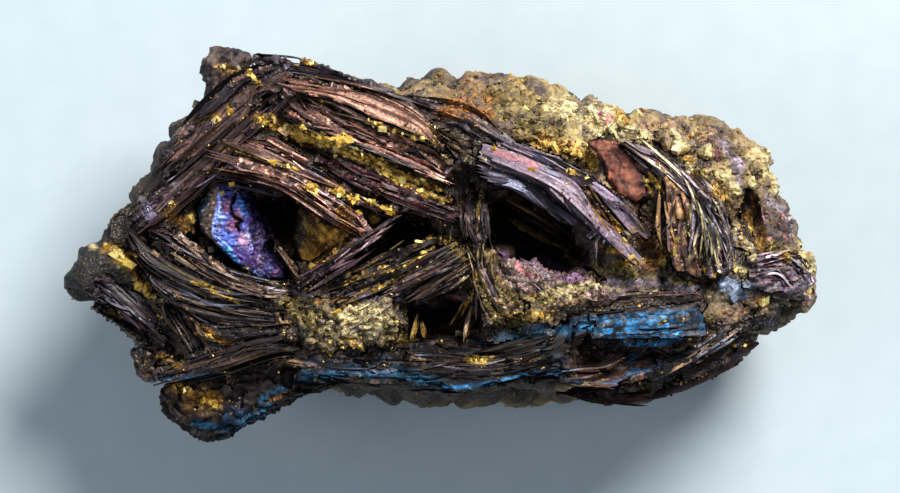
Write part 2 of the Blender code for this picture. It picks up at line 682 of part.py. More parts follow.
# Tapered tip of the left end.
LEFT_TIP = [
    (14, [
        (-36.1, -3.9), (-34.5, -1.7), (-29.5, 1.5), (-29.5, -6.5), (-34.5, -5.5),
    ]),
    (19.5, [
        (-37.5, -3.6), (-36.3, -1.7), (-33.5, 0.7), (-31.1, 3.5), (-29.5, -5.5), (-35.3, -5.5),
    ]),
    (20.5, [
        (-36.1, -3.1), (-33.3, 0.1), (-30.5, 1.5), (-30.5, -4.5),
    ]),
]
# Foot of the lower-left lobe.
LOBE_ROOT = [
    (4, [
        (-20.5, -10.5), (-10.5, -9.5), (-10.5, -14.3), (-18.3, -15.3),
    ]),
    (12, [
        (-27.9, -14.7), (-24.5, -10.5), (-11.5, -9.5), (-10.9, -13.9), (-18.5, -16.3), (-25.5, -16.7),
    ]),
]
# Weathered matrix behind the crest, set lower than the blades.
BACK = [
    (1, [
        (-4.0, 10.5), (0.5, 13.7), (11.5, 14.1), (19.5, 10.5), (15.5, 2.5), (-2.5, 4.5),
    ]),
    (6, [
        (-4.9, 12.5), (-1.5, 15.9), (5.5, 16.7), (14.5, 14.7), (21.5, 11.5), (15.5, 0.5),
        (-4.5, 2.5),
    ]),
    (12, [
        (-5.2, 14.8), (-2.5, 16.7), (0.2, 17.5), (3.9, 17.5), (10.3, 16.3), (15.3, 14.1),
        (19.5, 12.9), (17.5, 4.5), (-2.5, 8.5),
    ]),
    (16, [
        (-3.5, 14.1), (-0.5, 16.1), (5.5, 16.1), (10.3, 15.3), (14.5, 13.1), (17.5, 8.5),
        (11.5, 8.5), (2.5, 11.5),
    ]),
]
# Right-hand matrix with the fibrous fan.
RIGHT = [
    (4, [
        (11.5, 11.5), (19.5, 11.5), (25.5, 9.5), (30.5, 0.5), (29.5, -8.5), (24.5, -12.5),
        (11.5, -13.5),
    ]),
    (12, [
        (14.5, 13.3), (24.5, 12.0), (29.5, 10.3), (33.5, 4.5), (36.1, -1.7), (36.3, -5.5),
        (34.5, -7.7), (30.0, -9.3), (25.5, -12.7), (11.5, -14.0),
    ]),
    (18, [
        (15.3, 13.7), (24.1, 12.2), (29.3, 11.1), (33.1, 5.9), (35.4, 0.7), (36.9, -2.3),
        (36.9, -5.5), (35.5, -7.5), (32.3, -8.9), (29.0, -10.5), (25.5, -11.5), (11.5, -12.5),
    ]),
    (23.5, [
        (16.5, 11.5), (24.5, 10.5), (29.0, 8.5), (32.0, 4.5), (34.0, -0.5), (35.0, -4.5),
        (32.5, -6.5), (25.5, -8.5), (15.5, -9.5), (13.5, 4.5),
    ]),
]

# Open pocket around the large tabular crystal.
POCKET = [
    (13.5, [
        (-22.3, 4.5), (-14.5, 4.0), (-10.5, 2.0), (-12.7, -1.0), (-15.9, -2.7), (-20.0, -1.7),
    ]),
    (30, [
        (-24.9, 6.5), (-18.3, 6.7), (-9.5, 3.0), (-7.3, 0.5), (-11.5, -1.7), (-15.5, -4.7),
        (-24.0, -0.3),
    ]),
]
# Deep void right of the pocket.
CENTRAL_VOID = [
    (12, [
        (-11.5, 1.0), (-5.5, 2.0), (-0.5, 2.3), (-1.5, 0.5), (-9.5, -2.5), (-12.7, -2.7),
    ]),
    (30, [
        (-12.9, -1.7), (-7.3, 2.3), (0.7, 4.9), (2.5, 1.3), (-4.1, -1.7), (-13.3, -4.5),
    ]),
]
# Deep cavity under the lilac ribbons.
RIGHT_CAVITY = [
    (11, [
        (5.5, 4.0), (9.5, 3.0), (13.0, 0.5), (12.5, -1.7), (7.5, -1.0), (5.0, 0.5),
    ]),
    (30, [
        (3.7, 6.1), (7.5, 5.9), (12.5, 3.1), (15.5, -0.7), (14.5, -2.9), (11.5, -3.7),
        (6.0, -1.3), (3.9, 0.5),
    ]),
]
# Hole with upright laths in the lower centre.
LATH_HOLE = [
    (15, [
        (-3.3, -6.7), (1.7, -5.9), (1.7, -8.3), (-3.3, -8.7),
    ]),
    (30, [
        (-4.5, -6.1), (-1.5, -5.1), (2.9, -5.5), (3.1, -8.9), (-4.3, -9.5),
    ]),
]
# Hollow in front of the fibrous fan.
RIDGE_HOLLOW = [
    (18, [
        (15.5, 2.9), (18.5, 3.1), (19.5, 0.9), (16.5, 0.5),
    ]),
    (30, [
        (14.5, 3.7), (19.5, 3.9), (20.7, 0.5), (16.1, -0.5),
    ]),
]
# Narrow hollow near the right end.
END_HOLLOW = [
    (17, [
        (29.3, 4.9), (30.7, 4.5), (31.1, 0.5), (29.7, 0.5),
    ]),
    (30, [
        (28.7, 6.1), (31.3, 5.7), (31.9, -0.1), (29.3, -0.7),
    ]),
]
# The matrix: broken blocks grown into one body, the open vugs taken out of it, then the
# room of every separate piece.
matrix = hull("matrix", CORE, "rock")
combine(matrix, [hull("block", levels) for levels in (LEFT_WING, LEFT_TIP, LOBE_ROOT, BACK, RIGHT)],
        "UNION")
weather(matrix, longest=8.4 * MM, inward=1.0 * MM, outward=0.7 * MM)
combine(matrix, [hull("vug", levels) for levels in
                 (POCKET, CENTRAL_VOID, RIGHT_CAVITY, LATH_HOLE, RIDGE_HOLLOW, END_HOLLOW)],
        "DIFFERENCE")
trim(matrix)
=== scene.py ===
import math
import random

import bmesh
import bpy
from mathutils import Matrix, Vector, noise
from mathutils.bvhtree import BVHTree


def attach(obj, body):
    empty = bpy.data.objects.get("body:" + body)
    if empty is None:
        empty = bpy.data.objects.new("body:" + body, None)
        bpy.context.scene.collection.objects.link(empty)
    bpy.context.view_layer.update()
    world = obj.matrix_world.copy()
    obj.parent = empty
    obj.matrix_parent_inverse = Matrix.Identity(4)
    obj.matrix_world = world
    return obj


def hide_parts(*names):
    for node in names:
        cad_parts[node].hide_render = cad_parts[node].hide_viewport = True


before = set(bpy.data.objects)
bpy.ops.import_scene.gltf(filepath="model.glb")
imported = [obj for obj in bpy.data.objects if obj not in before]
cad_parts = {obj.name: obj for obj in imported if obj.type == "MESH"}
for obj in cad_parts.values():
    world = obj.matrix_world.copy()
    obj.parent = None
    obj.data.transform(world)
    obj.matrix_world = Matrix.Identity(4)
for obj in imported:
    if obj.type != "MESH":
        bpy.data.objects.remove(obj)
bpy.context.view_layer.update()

MM = 0.001

# ---------------------------------------------------------------------------------------
# Matrix.  Loose wall rock that everything grew on: ochre and olive granular pyrite at the
# back and right, near-black between the blades (dark sulphide, deepened by painted shade
# of the pits), and a flat foot underneath.


def rgb(red, green, blue):
    """A colour given as it looks on screen, 0 to 255, made linear."""
    return tuple((c / 255 / 12.92) if c <= 10 else ((c / 255 + 0.055) / 1.055) ** 2.4
                 for c in (red, green, blue))


def tones(*colours):
    return [rgb(*colour) for colour in colours]


def clamp(value):
    return min(max(value, 0), 1)


def blend(a, b, share):
    share = clamp(share)
    return tuple(x + (y - x) * share for x, y in zip(a, b))


def layered(colour, *coats):
    """A colour with coats laid over it in turn, each a tone and how much of it shows."""
    for tone, share in coats:
        colour = blend(colour, tone, share)
    return colour


def scaled(colour, factor):
    return tuple(c * factor for c in colour)


MINERALS = {  # tones, how far it stands out of the rock in mm, grains per square mm, grain sizes
    "gold": (tones((240, 204, 104), (222, 180, 72), (176, 134, 48), (104, 74, 28)), 0.1, 9, (0.16, 0.8)),
    "chunk": (tones((248, 224, 142), (232, 196, 96), (184, 142, 54)), 0.2, 9, (0.3, 1.1)),
    "amber": (tones((120, 82, 28), (92, 60, 20), (156, 112, 42)), -0.1, 4, (0.12, 0.4)),
    "ochre": (tones((178, 142, 66), (150, 114, 50), (208, 174, 96), (110, 80, 40)), 0.1, 6, (0.15, 0.5)),
    "orange": (tones((146, 94, 42), (116, 72, 34), (172, 118, 54), (84, 56, 34)), 0.0, 4, (0.15, 0.45)),
    "olive": (tones((118, 100, 50), (144, 124, 66), (86, 72, 40), (60, 48, 34)), 0.0, 4, (0.15, 0.45)),
    "cream": (tones((190, 174, 126), (164, 146, 100), (208, 194, 150), (134, 118, 82)),
        0.1, 4, (0.15, 0.5)),
    "nodule": (tones((188, 172, 124), (172, 154, 106), (200, 186, 140)), 0.75, 1, (0.15, 0.3)),
    "pink": (tones((164, 98, 106), (184, 110, 116), (120, 74, 86)), 0.0, 1, (0.12, 0.3)),
    "rose": (tones((132, 106, 108), (150, 122, 122), (104, 84, 84), (84, 70, 60)), 0.1, 4, (0.15, 0.4)),
    "lilac": (tones((140, 126, 140), (166, 152, 166), (108, 96, 110), (80, 70, 82)), 0.05, 0, (0.12, 0.35)),
    "slate": (tones((84, 84, 98), (108, 110, 128), (60, 58, 68)), 0.0, 1, (0.15, 0.35)),
    # sky, azure and blue are no minerals: painted reflections and glints of blue on polished faces, pale to
    # deep
    "sky": (tones((108, 124, 148), (124, 140, 162), (90, 100, 122)), 0.1, 0, (0.1, 0.2)),
    "azure": (tones((40, 118, 176), (26, 82, 128), (70, 152, 206)), 0.05, 0, (0.1, 0.2)),
    "blue": (tones((18, 56, 80), (12, 36, 54), (32, 82, 112)), 0.0, 0, (0.1, 0.2)),
    "violet": (tones((104, 62, 118), (130, 84, 136), (70, 42, 80)), -0.1, 0, (0.1, 0.2)),
    "maroon": (tones((84, 40, 46), (64, 30, 36)), 0.0, 1, (0.1, 0.3)),
    "red": (tones((118, 64, 48), (138, 78, 58), (92, 48, 38)), 0.0, 1, (0.1, 0.3)),
    "tan": (tones((136, 108, 78), (112, 86, 64), (160, 132, 98), (84, 66, 54)), 0.0, 3, (0.15, 0.4)),
    "brown": (tones((74, 56, 50), (56, 42, 40), (94, 74, 64)), 0.0, 2, (0.15, 0.4)),
    "dark": (tones((38, 30, 32), (54, 42, 42), (26, 20, 22)), -0.25, 1, (0.15, 0.4)),
    # black marks pits and cracks and sinks them: dark joints, with painted shade in the pits
    "black": (tones((12, 9, 10), (18, 13, 14)), -1.1, 0, (0.1, 0.2)),
}
VEINS = [  # mineral, half width, then the line it follows in plan, all in millimetres
    # back ridge and right shoulder
    ("orange", 1.5, (0.5, 13.6), (4.5, 13.8)), ("brown", 0.7, (3, 11.9), (6.5, 11.6)),
    ("olive", 1.6, (6.0, 13.6), (8.6, 12.6), (10.5, 11.6)),
    ("cream", 1.5, (11.5, 14.2), (15.5, 12.4), (19, 11.3)), ("maroon", 0.5, (9.9, 10.6), (10.7, 10.7)),
    ("ochre", 0.9, (9.3, 10.2), (12.4, 9.7), (14.6, 8.3)),
    ("chunk", 0.3, (10, 10.3), (13.5, 8.9), (15, 7.6)), ("pink", 0.35, (15.8, 12.5), (16.4, 12.5)),
    ("ochre", 0.6, (17.2, 12.4), (18.2, 12.1)), ("tan", 0.6, (19.5, 11.8), (24, 11.6), (28, 10.6)),
    ("brown", 0.45, (24.9, 9.8), (26.9, 10.6)), ("orange", 0.25, (24.5, 11), (24.9, 11)),
    ("nodule", 0.95, (23.3, 10.0), (23.5, 9.7)), ("nodule", 0.75, (25.8, 9.3), (25.8, 9.1)),
    ("maroon", 0.5, (27.0, 9.5), (27.3, 8.8)), ("black", 0.4, (20.8, 10.2), (21.0, 9.5)),
    ("ochre", 0.7, (24.2, 8.5), (24.4, 8.3)), ("olive", 0.7, (24.9, 7.5), (25.6, 6.6)),
    ("lilac", 0.5, (27.8, 10.7), (28.9, 7.8), (29.2, 5.6)), ("brown", 0.3, (28.2, 10.2), (29.5, 8)),
    ("nodule", 1.0, (27.6, 7.1), (28, 6.7)), ("nodule", 0.65, (28.5, 5.6), (28.7, 5.3)),
    ("ochre", 0.9, (26.8, 5.6), (27.4, 5)), ("nodule", 0.4, (30.0, 8.3), (30.1, 8.1)),
    ("black", 0.35, (30.2, 7.2), (31.3, 6.9)), ("nodule", 0.5, (30.3, 6.2), (30.5, 5.9)),
    ("cream", 0.4, (30.8, 9.4), (31.8, 7.7), (32.8, 6.3), (33.1, 5.2)),
    ("black", 0.75, (29.9, 4.9), (29.4, 3.7), (29.9, 2.6)),
    ("amber", 0.7, (30.5, 3), (31.3, 1.2), (31.8, -0.2)), ("orange", 0.3, (30.7, 4.9), (30.8, 3.9)),
    ("ochre", 0.3, (30.6, 1.6), (31.6, -0.3)), ("brown", 1.0, (32.6, 4.2), (33.6, 2.4), (34.2, 0.8)),
    ("lilac", 0.3, (32.2, 5), (33.4, 3.5), (34.9, 1)), ("pink", 0.25, (31.7, 2.9), (31.8, 2.7)),
    ("pink", 0.25, (33.4, 2.9), (33.5, 2.8)), ("pink", 0.25, (34.1, 0.9), (34.2, 0.8)),
    ("pink", 0.3, (32.2, 0.5), (32.4, 0.4)), ("olive", 0.8, (32.6, -0.2), (34, -1.2)),
    ("orange", 0.35, (33.6, -1.2), (33.8, -1.3)), ("cream", 0.6, (35.7, 0), (36.6, -2.4)),
    ("cream", 0.35, (36.1, -4.8), (36.6, -4.4)), ("lilac", 0.4, (27, 3), (28.5, 1.6), (30, -0.3)),
    ("cream", 0.4, (28.4, 2.4), (29.8, 0.4), (30.6, -1.4)), ("brown", 0.5, (27.2, 3.4), (28.6, 2.5)),
    ("black", 0.4, (26.3, 3.4), (27.6, 1.9)), ("cream", 0.5, (28.3, -1.0), (28.5, -1.5)),
    ("cream", 0.6, (28.8, -2.4), (29.4, -2.6)), ("black", 0.35, (28.6, 0.1), (28.2, 0.9)),
    ("lilac", 0.3, (28.6, -0.6), (27.6, -2.6)), ("sky", 0.95, (28.2, -4.0), (29.4, -4.9)),
    ("sky", 0.5, (29.6, -3.9), (31.2, -4.7)), ("black", 0.3, (29.2, -3.2), (30.9, -3.6)),
    ("orange", 0.75, (31.5, -5.5), (31.9, -5.8)), ("tan", 0.7, (27.8, -6.9), (30, -6.6), (32, -6.6)),
    ("rose", 0.5, (26.6, -7.8), (29, -7.2)), ("dark", 0.9, (31.2, -7.6), (34.5, -6.6)),
    ("brown", 0.7, (33.5, -5.8), (36.2, -5.7)), ("slate", 0.4, (30.5, -7.3), (33.2, -8.2)),
    ("black", 0.25, (29.5, -7.2), (32.5, -6)),
    # right-hand cavity, its floor and the granular wall below it
    ("violet", 1.2, (6.2, -0.5), (9.4, -1.5), (12, -2.6), (13.6, -2.8)),
    ("violet", 0.6, (5.2, -0.6), (7.4, -1.4)),
    ("lilac", 0.28, (7.2, -1.5), (8.7, -1.9), (10.1, -3.2), (10.8, -4)),
    ("gold", 0.17, (5.9, 3.0), (7.9, 1.4), (10.7, 0.3), (12.2, -0.4)),
    ("tan", 0.35, (5.4, 5.2), (7.3, 4.3)), ("amber", 0.35, (9.9, 1.0), (11.9, 0.0)),
    ("amber", 0.3, (6.8, 4.6), (8.3, 3.4)), ("gold", 0.2, (12.3, -1), (13.4, -2)),
    ("rose", 1.3, (6.7, -2.6), (8.6, -3.8)), ("pink", 0.3, (7.2, -2.2), (8.8, -3.2)),
    ("cream", 0.6, (9.8, -5.0), (12, -4.6), (14.8, -4.1)), ("cream", 0.4, (12.4, -4.9), (14.6, -3.9)),
    ("olive", 0.6, (5.4, -4.5), (8, -5.6), (10.8, -5.6)),
    ("ochre", 0.5, (6.2, -7.1), (8.4, -7.0), (10.8, -6.6)), ("olive", 0.5, (5.5, -7.8), (8.6, -8.1)),
    ("tan", 0.6, (10.8, -6.4), (13.2, -5.4), (16, -4.6)),
    ("rose", 0.8, (14.5, -4.6), (19.4, -4.6), (25, -4.9)), ("cream", 0.22, (15, -4.0), (17.4, -4.5)),
    ("cream", 0.2, (18.8, -4.9), (21, -4.5)), ("brown", 0.6, (12.5, -7), (17, -6), (24, -5.7)),
    ("lilac", 0.35, (16, -3.7), (20, -3.8), (25.5, -4.3)),
    ("olive", 0.8, (14.6, -2.4), (16.8, -2.2), (18.6, -2.9)),
    ("orange", 0.9, (19.8, 0.4), (21.4, -0.9), (20.6, -2)), ("cream", 0.22, (24.0, 2.4), (23.8, 1.2)),
    ("nodule", 0.2, (25.2, 1.6), (25.0, 0.8)), ("cream", 0.25, (24.6, -0.2), (24.4, -1.4)),
    ("cream", 0.2, (26.2, 0.6), (26.4, -0.4)), ("ochre", 0.25, (23.0, 0.6), (22.6, -0.8)),
    ("nodule", 0.25, (27.0, -1.0), (27.2, -1.6)), ("gold", 0.3, (17.2, -2), (19.6, -1.6)),
    ("gold", 0.25, (20.4, -1.6), (22.3, -1.9)), ("black", 0.5, (21.9, -2.8), (21.8, -3.5)),
    ("black", 0.25, (20.6, 8.9), (21.0, 7.8), (20.4, 6.6)),
    ("black", 0.2, (19.2, 7.4), (20.4, 6.4), (20.0, 5.4)),
    ("dark", 0.14, (16.4, 9.6), (17.4, 8.2), (17.2, 6.8), (18.0, 5.6)),
    ("dark", 0.12, (18.4, 9.4), (18.9, 8.2)), ("gold", 0.2, (20.3, 7.2), (21.6, 5.4)),
    ("gold", 0.14, (19.6, 6.8), (20.6, 4.9)), ("orange", 0.2, (21.0, 8.6), (21.8, 7.4)),
    ("black", 0.5, (17.3, 1.4), (18.3, 0.6)), ("orange", 0.5, (15.6, -0.4), (17, -0.6)),
    ("gold", 0.25, (16, -0.5), (16.8, -0.5)), ("gold", 0.25, (17.6, 0.6), (18, 0.2)),
    ("amber", 0.7, (15.9, 3.2), (17.2, 1.6)), ("gold", 0.3, (16.3, 2.8), (17.2, 2)),
    ("brown", 0.6, (13.9, 6.1), (15.3, 4.1), (16.4, 2.8)), ("gold", 0.2, (13.9, 5.8), (15.0, 4.6)),
    ("tan", 0.45, (15.6, 6.8), (16.1, 6.0)), ("olive", 0.45, (23.1, -3.6), (24.6, -3.6)),
    ("tan", 0.5, (18.5, 1.4), (20.5, 2.3)), ("brown", 0.8, (19.4, 3.4), (20.6, 1.6)),
    ("dark", 0.5, (16.5, 0.3), (15.6, -1.6)),
    # druse and hub
    ("olive", 1.2, (-16, -5.6), (-13.2, -7), (-11, -9)), ("dark", 0.3, (-15.4, -7.6), (-13.6, -8.6)),
    ("dark", 0.22, (-12.8, -6.2), (-11.9, -7.4), (-11.0, -8.4)),
    ("brown", 0.25, (-10.1, -5.7), (-9.4, -7.4)), ("dark", 0.2, (-8.6, -8.6), (-7.0, -8.3), (-5.4, -9.2)),
    ("rose", 0.4, (-7, -5.7), (-5.2, -6.9)), ("dark", 0.16, (-9.2, -7.4), (-7.9, -7.9)),
    ("brown", 0.5, (-4.6, -6.4), (-4.4, -8.8)), ("cream", 1.3, (-9.6, -7.2), (-7.6, -6.6), (-6, -7.4)),
    ("cream", 0.8, (-11.6, -8.6), (-9.4, -9)), ("lilac", 0.4, (-9.4, -5.0), (-6.4, -5.4), (-3.6, -5.3)),
    ("lilac", 0.5, (-17.4, -4.2), (-15.2, -4.4)), ("black", 0.2, (-13.4, -5.6), (-13.7, -4.9)),
    ("dark", 0.35, (-11.8, -7.3), (-10.8, -7.8)), ("rose", 0.4, (-12.4, -7.6), (-10.4, -8.2)),
    ("ochre", 0.4, (-10.4, -9.6), (-8.4, -9.9)), ("olive", 0.9, (-5.6, -8.4), (-4.0, -9.2)),
    ("tan", 0.5, (-16.4, -6.8), (-15, -9.2)), ("olive", 0.6, (0.5, 0.4), (1.5, -0.6), (2.6, -1.6)),
    ("gold", 0.3, (0.0, 0.7), (1.5, -0.5)), ("olive", 0.8, (3.2, -3.4), (4.4, -5.6), (5.4, -7.4)),
    ("rose", 0.3, (3.2, 2.5), (3.1, 1.9)), ("lilac", 0.3, (3.2, 0.9), (3.4, 0.4)),
    ("olive", 0.22, (3.9, 5.8), (3.4, 3.8)), ("dark", 0.35, (-4.5, -8.8), (-4.2, -6.2)),
    ("black", 0.9, (-3.6, -7.2), (-1.2, -7.0), (1.0, -6.6)), ("amber", 0.3, (-0.2, -8.3), (1.2, -8.4)),
    ("gold", 0.16, (2.2, -5.8), (1.1, -7.3)), ("pink", 0.3, (0.9, -5.3), (1.1, -5.5)),
    ("chunk", 0.25, (1.6, -3.3), (1.6, -3.5)), ("gold", 0.22, (2.8, -4.3), (2.5, -5.3)),
    # blades: seams of pyrite and patches of sheen
    ("ochre", 0.22, (-22.8, 17.9), (-21.2, 17.2)), ("cream", 0.2, (-20.6, 17.8), (-20.3, 17.2)),
    ("gold", 0.22, (-19.6, 17.4), (-18.4, 16.0)), ("gold", 0.2, (-15.4, 18.3), (-12.6, 17.9)),
    ("gold", 0.2, (-12.1, 14.2), (-11.6, 13.7)), ("gold", 0.28, (-7.5, 12.1), (-4.5, 11.0), (-1, 10.0)),
    ("gold", 0.55, (-18.6, 12.6), (-15, 11.1), (-12, 10.3)),
    ("chunk", 0.5, (-15.6, 11.6), (-12.4, 10.2), (-9.8, 10.2)), ("gold", 0.5, (-10.6, 9.6), (-5, 7.4)),
    ("chunk", 0.3, (-6.6, 7.4), (-4.4, 6.2), (-2.4, 5.3), (0, 4.4)),
    ("gold", 0.15, (-22.3, 9.7), (-20.5, 9.3), (-18.3, 8.5), (-14.5, 7.5)),
    ("gold", 0.25, (-7, 7.8), (-3.4, 6.6), (-0.6, 5.6)), ("chunk", 0.35, (-13.6, 5.7), (-12.8, 5.3)),
    ("chunk", 0.3, (-11.2, 5.5), (-9.4, 4.8)), ("chunk", 0.28, (-7.8, 4.4), (-6.8, 3.9)),
    ("chunk", 0.3, (-6.1, 3.7), (-5.1, 3.2)), ("chunk", 0.3, (-7.4, 2.9), (-6.6, 2.4)),
    ("gold", 0.2, (-9.4, 3.9), (-7.4, 2.6)), ("gold", 0.22, (-21.5, 13.6), (-21.0, 12.8)),
    ("gold", 0.22, (-23.0, 12.8), (-22.4, 12.0)), ("olive", 0.3, (-2.0, 12.1), (-0.9, 10.8)),
    ("cream", 0.3, (-0.2, 8.8), (1.4, 7.5)), ("lilac", 0.3, (-28.1, 7.6), (-26.6, 5.9)),
    ("lilac", 0.35, (-30.4, 4.6), (-28.9, 2.9)), ("cream", 0.15, (-26.4, 10.6), (-26.1, 10.2)),
    ("maroon", 0.3, (-12, 8.5), (-7, 6.8), (-2, 4.8)), ("slate", 0.5, (-13.4, 7.6), (-12.2, 6.9)),
    ("lilac", 0.25, (1.6, 8.4), (0.2, 7.2)), ("gold", 0.2, (-13.4, -2.3), (-11.4, -0.8), (-9.2, 0.9)),
    ("lilac", 0.14, (-12.8, -3), (-9.6, -0.9)), ("olive", 0.2, (-9.8, -3.0), (-5.6, -0.8)),
    ("gold", 0.18, (-6.7, -2.4), (-5.8, -1.7)),
    ("gold", 0.1, (-9.8, -3.8), (-7, -2.9), (-4.3, -2.3), (-0.4, 0.3)),
    ("gold", 0.11, (-7.3, -4.7), (-4.3, -3.1)), ("orange", 0.2, (-12.7, -6.0), (-10.4, -5.2)),
    ("gold", 0.14, (-11, -6.7), (-7.9, -4.4)), ("olive", 0.35, (-3.0, 0.0), (-0.5, 0.9), (1.5, -0.6)),
    ("gold", 0.12, (-3, 0.3), (-0.6, 1.1)), ("chunk", 0.2, (-6.5, 0.9), (-6.0, 0.7)),
    ("rose", 0.25, (-5.8, -4.7), (-2.6, -3.0)), ("dark", 0.6, (2.9, 9.6), (3.0, 6.2)),
    ("cream", 0.2, (3.6, 8.9), (4.3, 8.4)), ("amber", 0.9, (-10.2, 3.2), (-9.6, 1.2), (-11.6, -0.6)),
    ("gold", 0.25, (-9, 0.9), (-12.2, -1.6)), ("gold", 0.25, (-27.3, 4.4), (-26.9, 3.9)),
    ("gold", 0.3, (-25.6, 2.9), (-25.2, 2.4)), ("amber", 0.6, (-27.4, 3.2), (-25.4, 1.6)),
    ("cream", 0.22, (-21.3, 6.1), (-20.9, 5.9)),
    # left end and the rim below it
    ("amber", 0.9, (-33.4, -0.4), (-31.6, -1.4), (-30.8, -2.6)),
    ("chunk", 0.5, (-33.0, -0.3), (-32, -1.6)), ("cream", 0.25, (-35.3, -0.2), (-34.9, -0.5)),
    ("gold", 0.4, (-30.9, -3.6), (-29.2, -5.1)), ("gold", 0.2, (-28.3, -5.3), (-27.9, -5.7)),
    ("gold", 0.25, (-34, -6.7), (-32.6, -6.9)), ("maroon", 0.5, (-32.2, -7), (-30.4, -8)),
    ("gold", 0.14, (-25.1, -3.6), (-22.8, -4.3)),
    ("tan", 0.3, (-26.6, -4.8), (-24.6, -8.0), (-23.8, -10.4)),
    ("amber", 0.45, (-24.3, -8.2), (-21.7, -9.8)), ("gold", 0.2, (-23.8, -9.1), (-22.2, -9.7)),
    ("cream", 0.3, (-20.2, -2.3), (-19.8, -2.6)), ("lilac", 0.25, (-18.8, -3.6), (-14.8, -4.8)),
    ("cream", 0.2, (-17.6, -3.7), (-16.2, -4.0)), ("gold", 0.16, (-25, -3.7), (-20.5, -5.7)),
    ("amber", 0.5, (-28.7, -11), (-26.4, -12.2)), ("gold", 0.25, (-28.2, -11.2), (-27.2, -11.6)),
    # the blue lines down the rim here are painted reflections on its polished edges
    ("blue", 0.3, (-29.4, -13.4), (-26, -13.3), (-22.8, -12.8)),
    ("amber", 0.9, (-26.6, -14.3), (-23, -15.6)), ("gold", 0.35, (-26.8, -14.3), (-25.6, -14.6)),
    ("gold", 0.35, (-24.2, -15.4), (-22.6, -16.1)), ("tan", 0.3, (-25.4, -14.6), (-23.6, -14.4)),
    ("blue", 0.55, (-25, -18.0), (-21.4, -18.4), (-17.4, -16.0)),
    ("blue", 0.45, (-18.4, -15.4), (-15, -13.8), (-12, -12.9)),
    ("orange", 0.16, (-17.6, -15.6), (-13.6, -13.6)), ("tan", 0.6, (-16.8, -11.7), (-14.8, -11.6)),
    ("rose", 0.35, (-13.6, -11.8), (-13.0, -12.0)),
    ("blue", 0.75, (-14.6, -13.3), (-9, -12.5), (-4.6, -12.7), (-1, -13.6)),
    ("dark", 0.2, (-12, -12.2), (-6, -12.1)),
    # front rim and lower front face; its bright blue, blue and grey-blue lines are painted reflections on
    # the polished plates
    ("tan", 0.2, (-3.4, -11.2), (-1.9, -11.5)), ("lilac", 0.12, (-1.4, -11.8), (2.2, -12.4)),
    ("olive", 0.4, (2.2, -11.3), (4.6, -11.2)), ("gold", 0.2, (2.4, -11.5), (4, -11.7)),
    ("tan", 0.15, (6.9, -11.4), (9.4, -11.2)), ("dark", 0.6, (13.6, -6.6), (19.4, -6.2), (25.4, -5.6)),
    ("dark", 0.6, (13.6, -9.3), (15.2, -9.6), (17.6, -10.0)), ("dark", 0.75, (27.2, -7.8), (25.0, -9.9)),
    ("azure", 0.4, (17.8, -9.6), (20.6, -10.0), (23.4, -9.2)), ("blue", 0.6, (13.9, -7.4), (15.4, -8.9)),
    ("blue", 0.3, (15.2, -7.3), (17.4, -7.2)), ("azure", 0.35, (11.6, -8.6), (14.6, -8.2)),
    ("blue", 0.4, (5, -9.4), (9, -8.8), (13, -8.4)),
    ("azure", 0.16, (-1, -14.3), (3.6, -13.8), (9.2, -12.6)),
    ("azure", 0.14, (10.2, -12.8), (12.8, -12.3), (14.8, -11.5), (18.9, -11)),
    ("azure", 0.26, (16.9, -12.1), (18.9, -11.3)),
    ("azure", 0.14, (11.8, -13.5), (16.4, -13.8), (18.9, -12.8), (22, -11.6)),
    ("sky", 0.1, (19.7, -14), (24, -12.3), (29.9, -8.4)),
    ("sky", 0.09, (18.6, -13.2), (23.4, -11.4), (29, -7.6)), ("brown", 0.8, (13, -11.8), (18, -11.6)),
    ("blue", 0.5, (5.8, -8.9), (9.6, -8.2), (13.4, -7.6)), ("slate", 0.2, (-14, -12.4), (-5, -12.4)),
    ("cream", 0.12, (12.4, -14.2), (16, -13.4)),
]
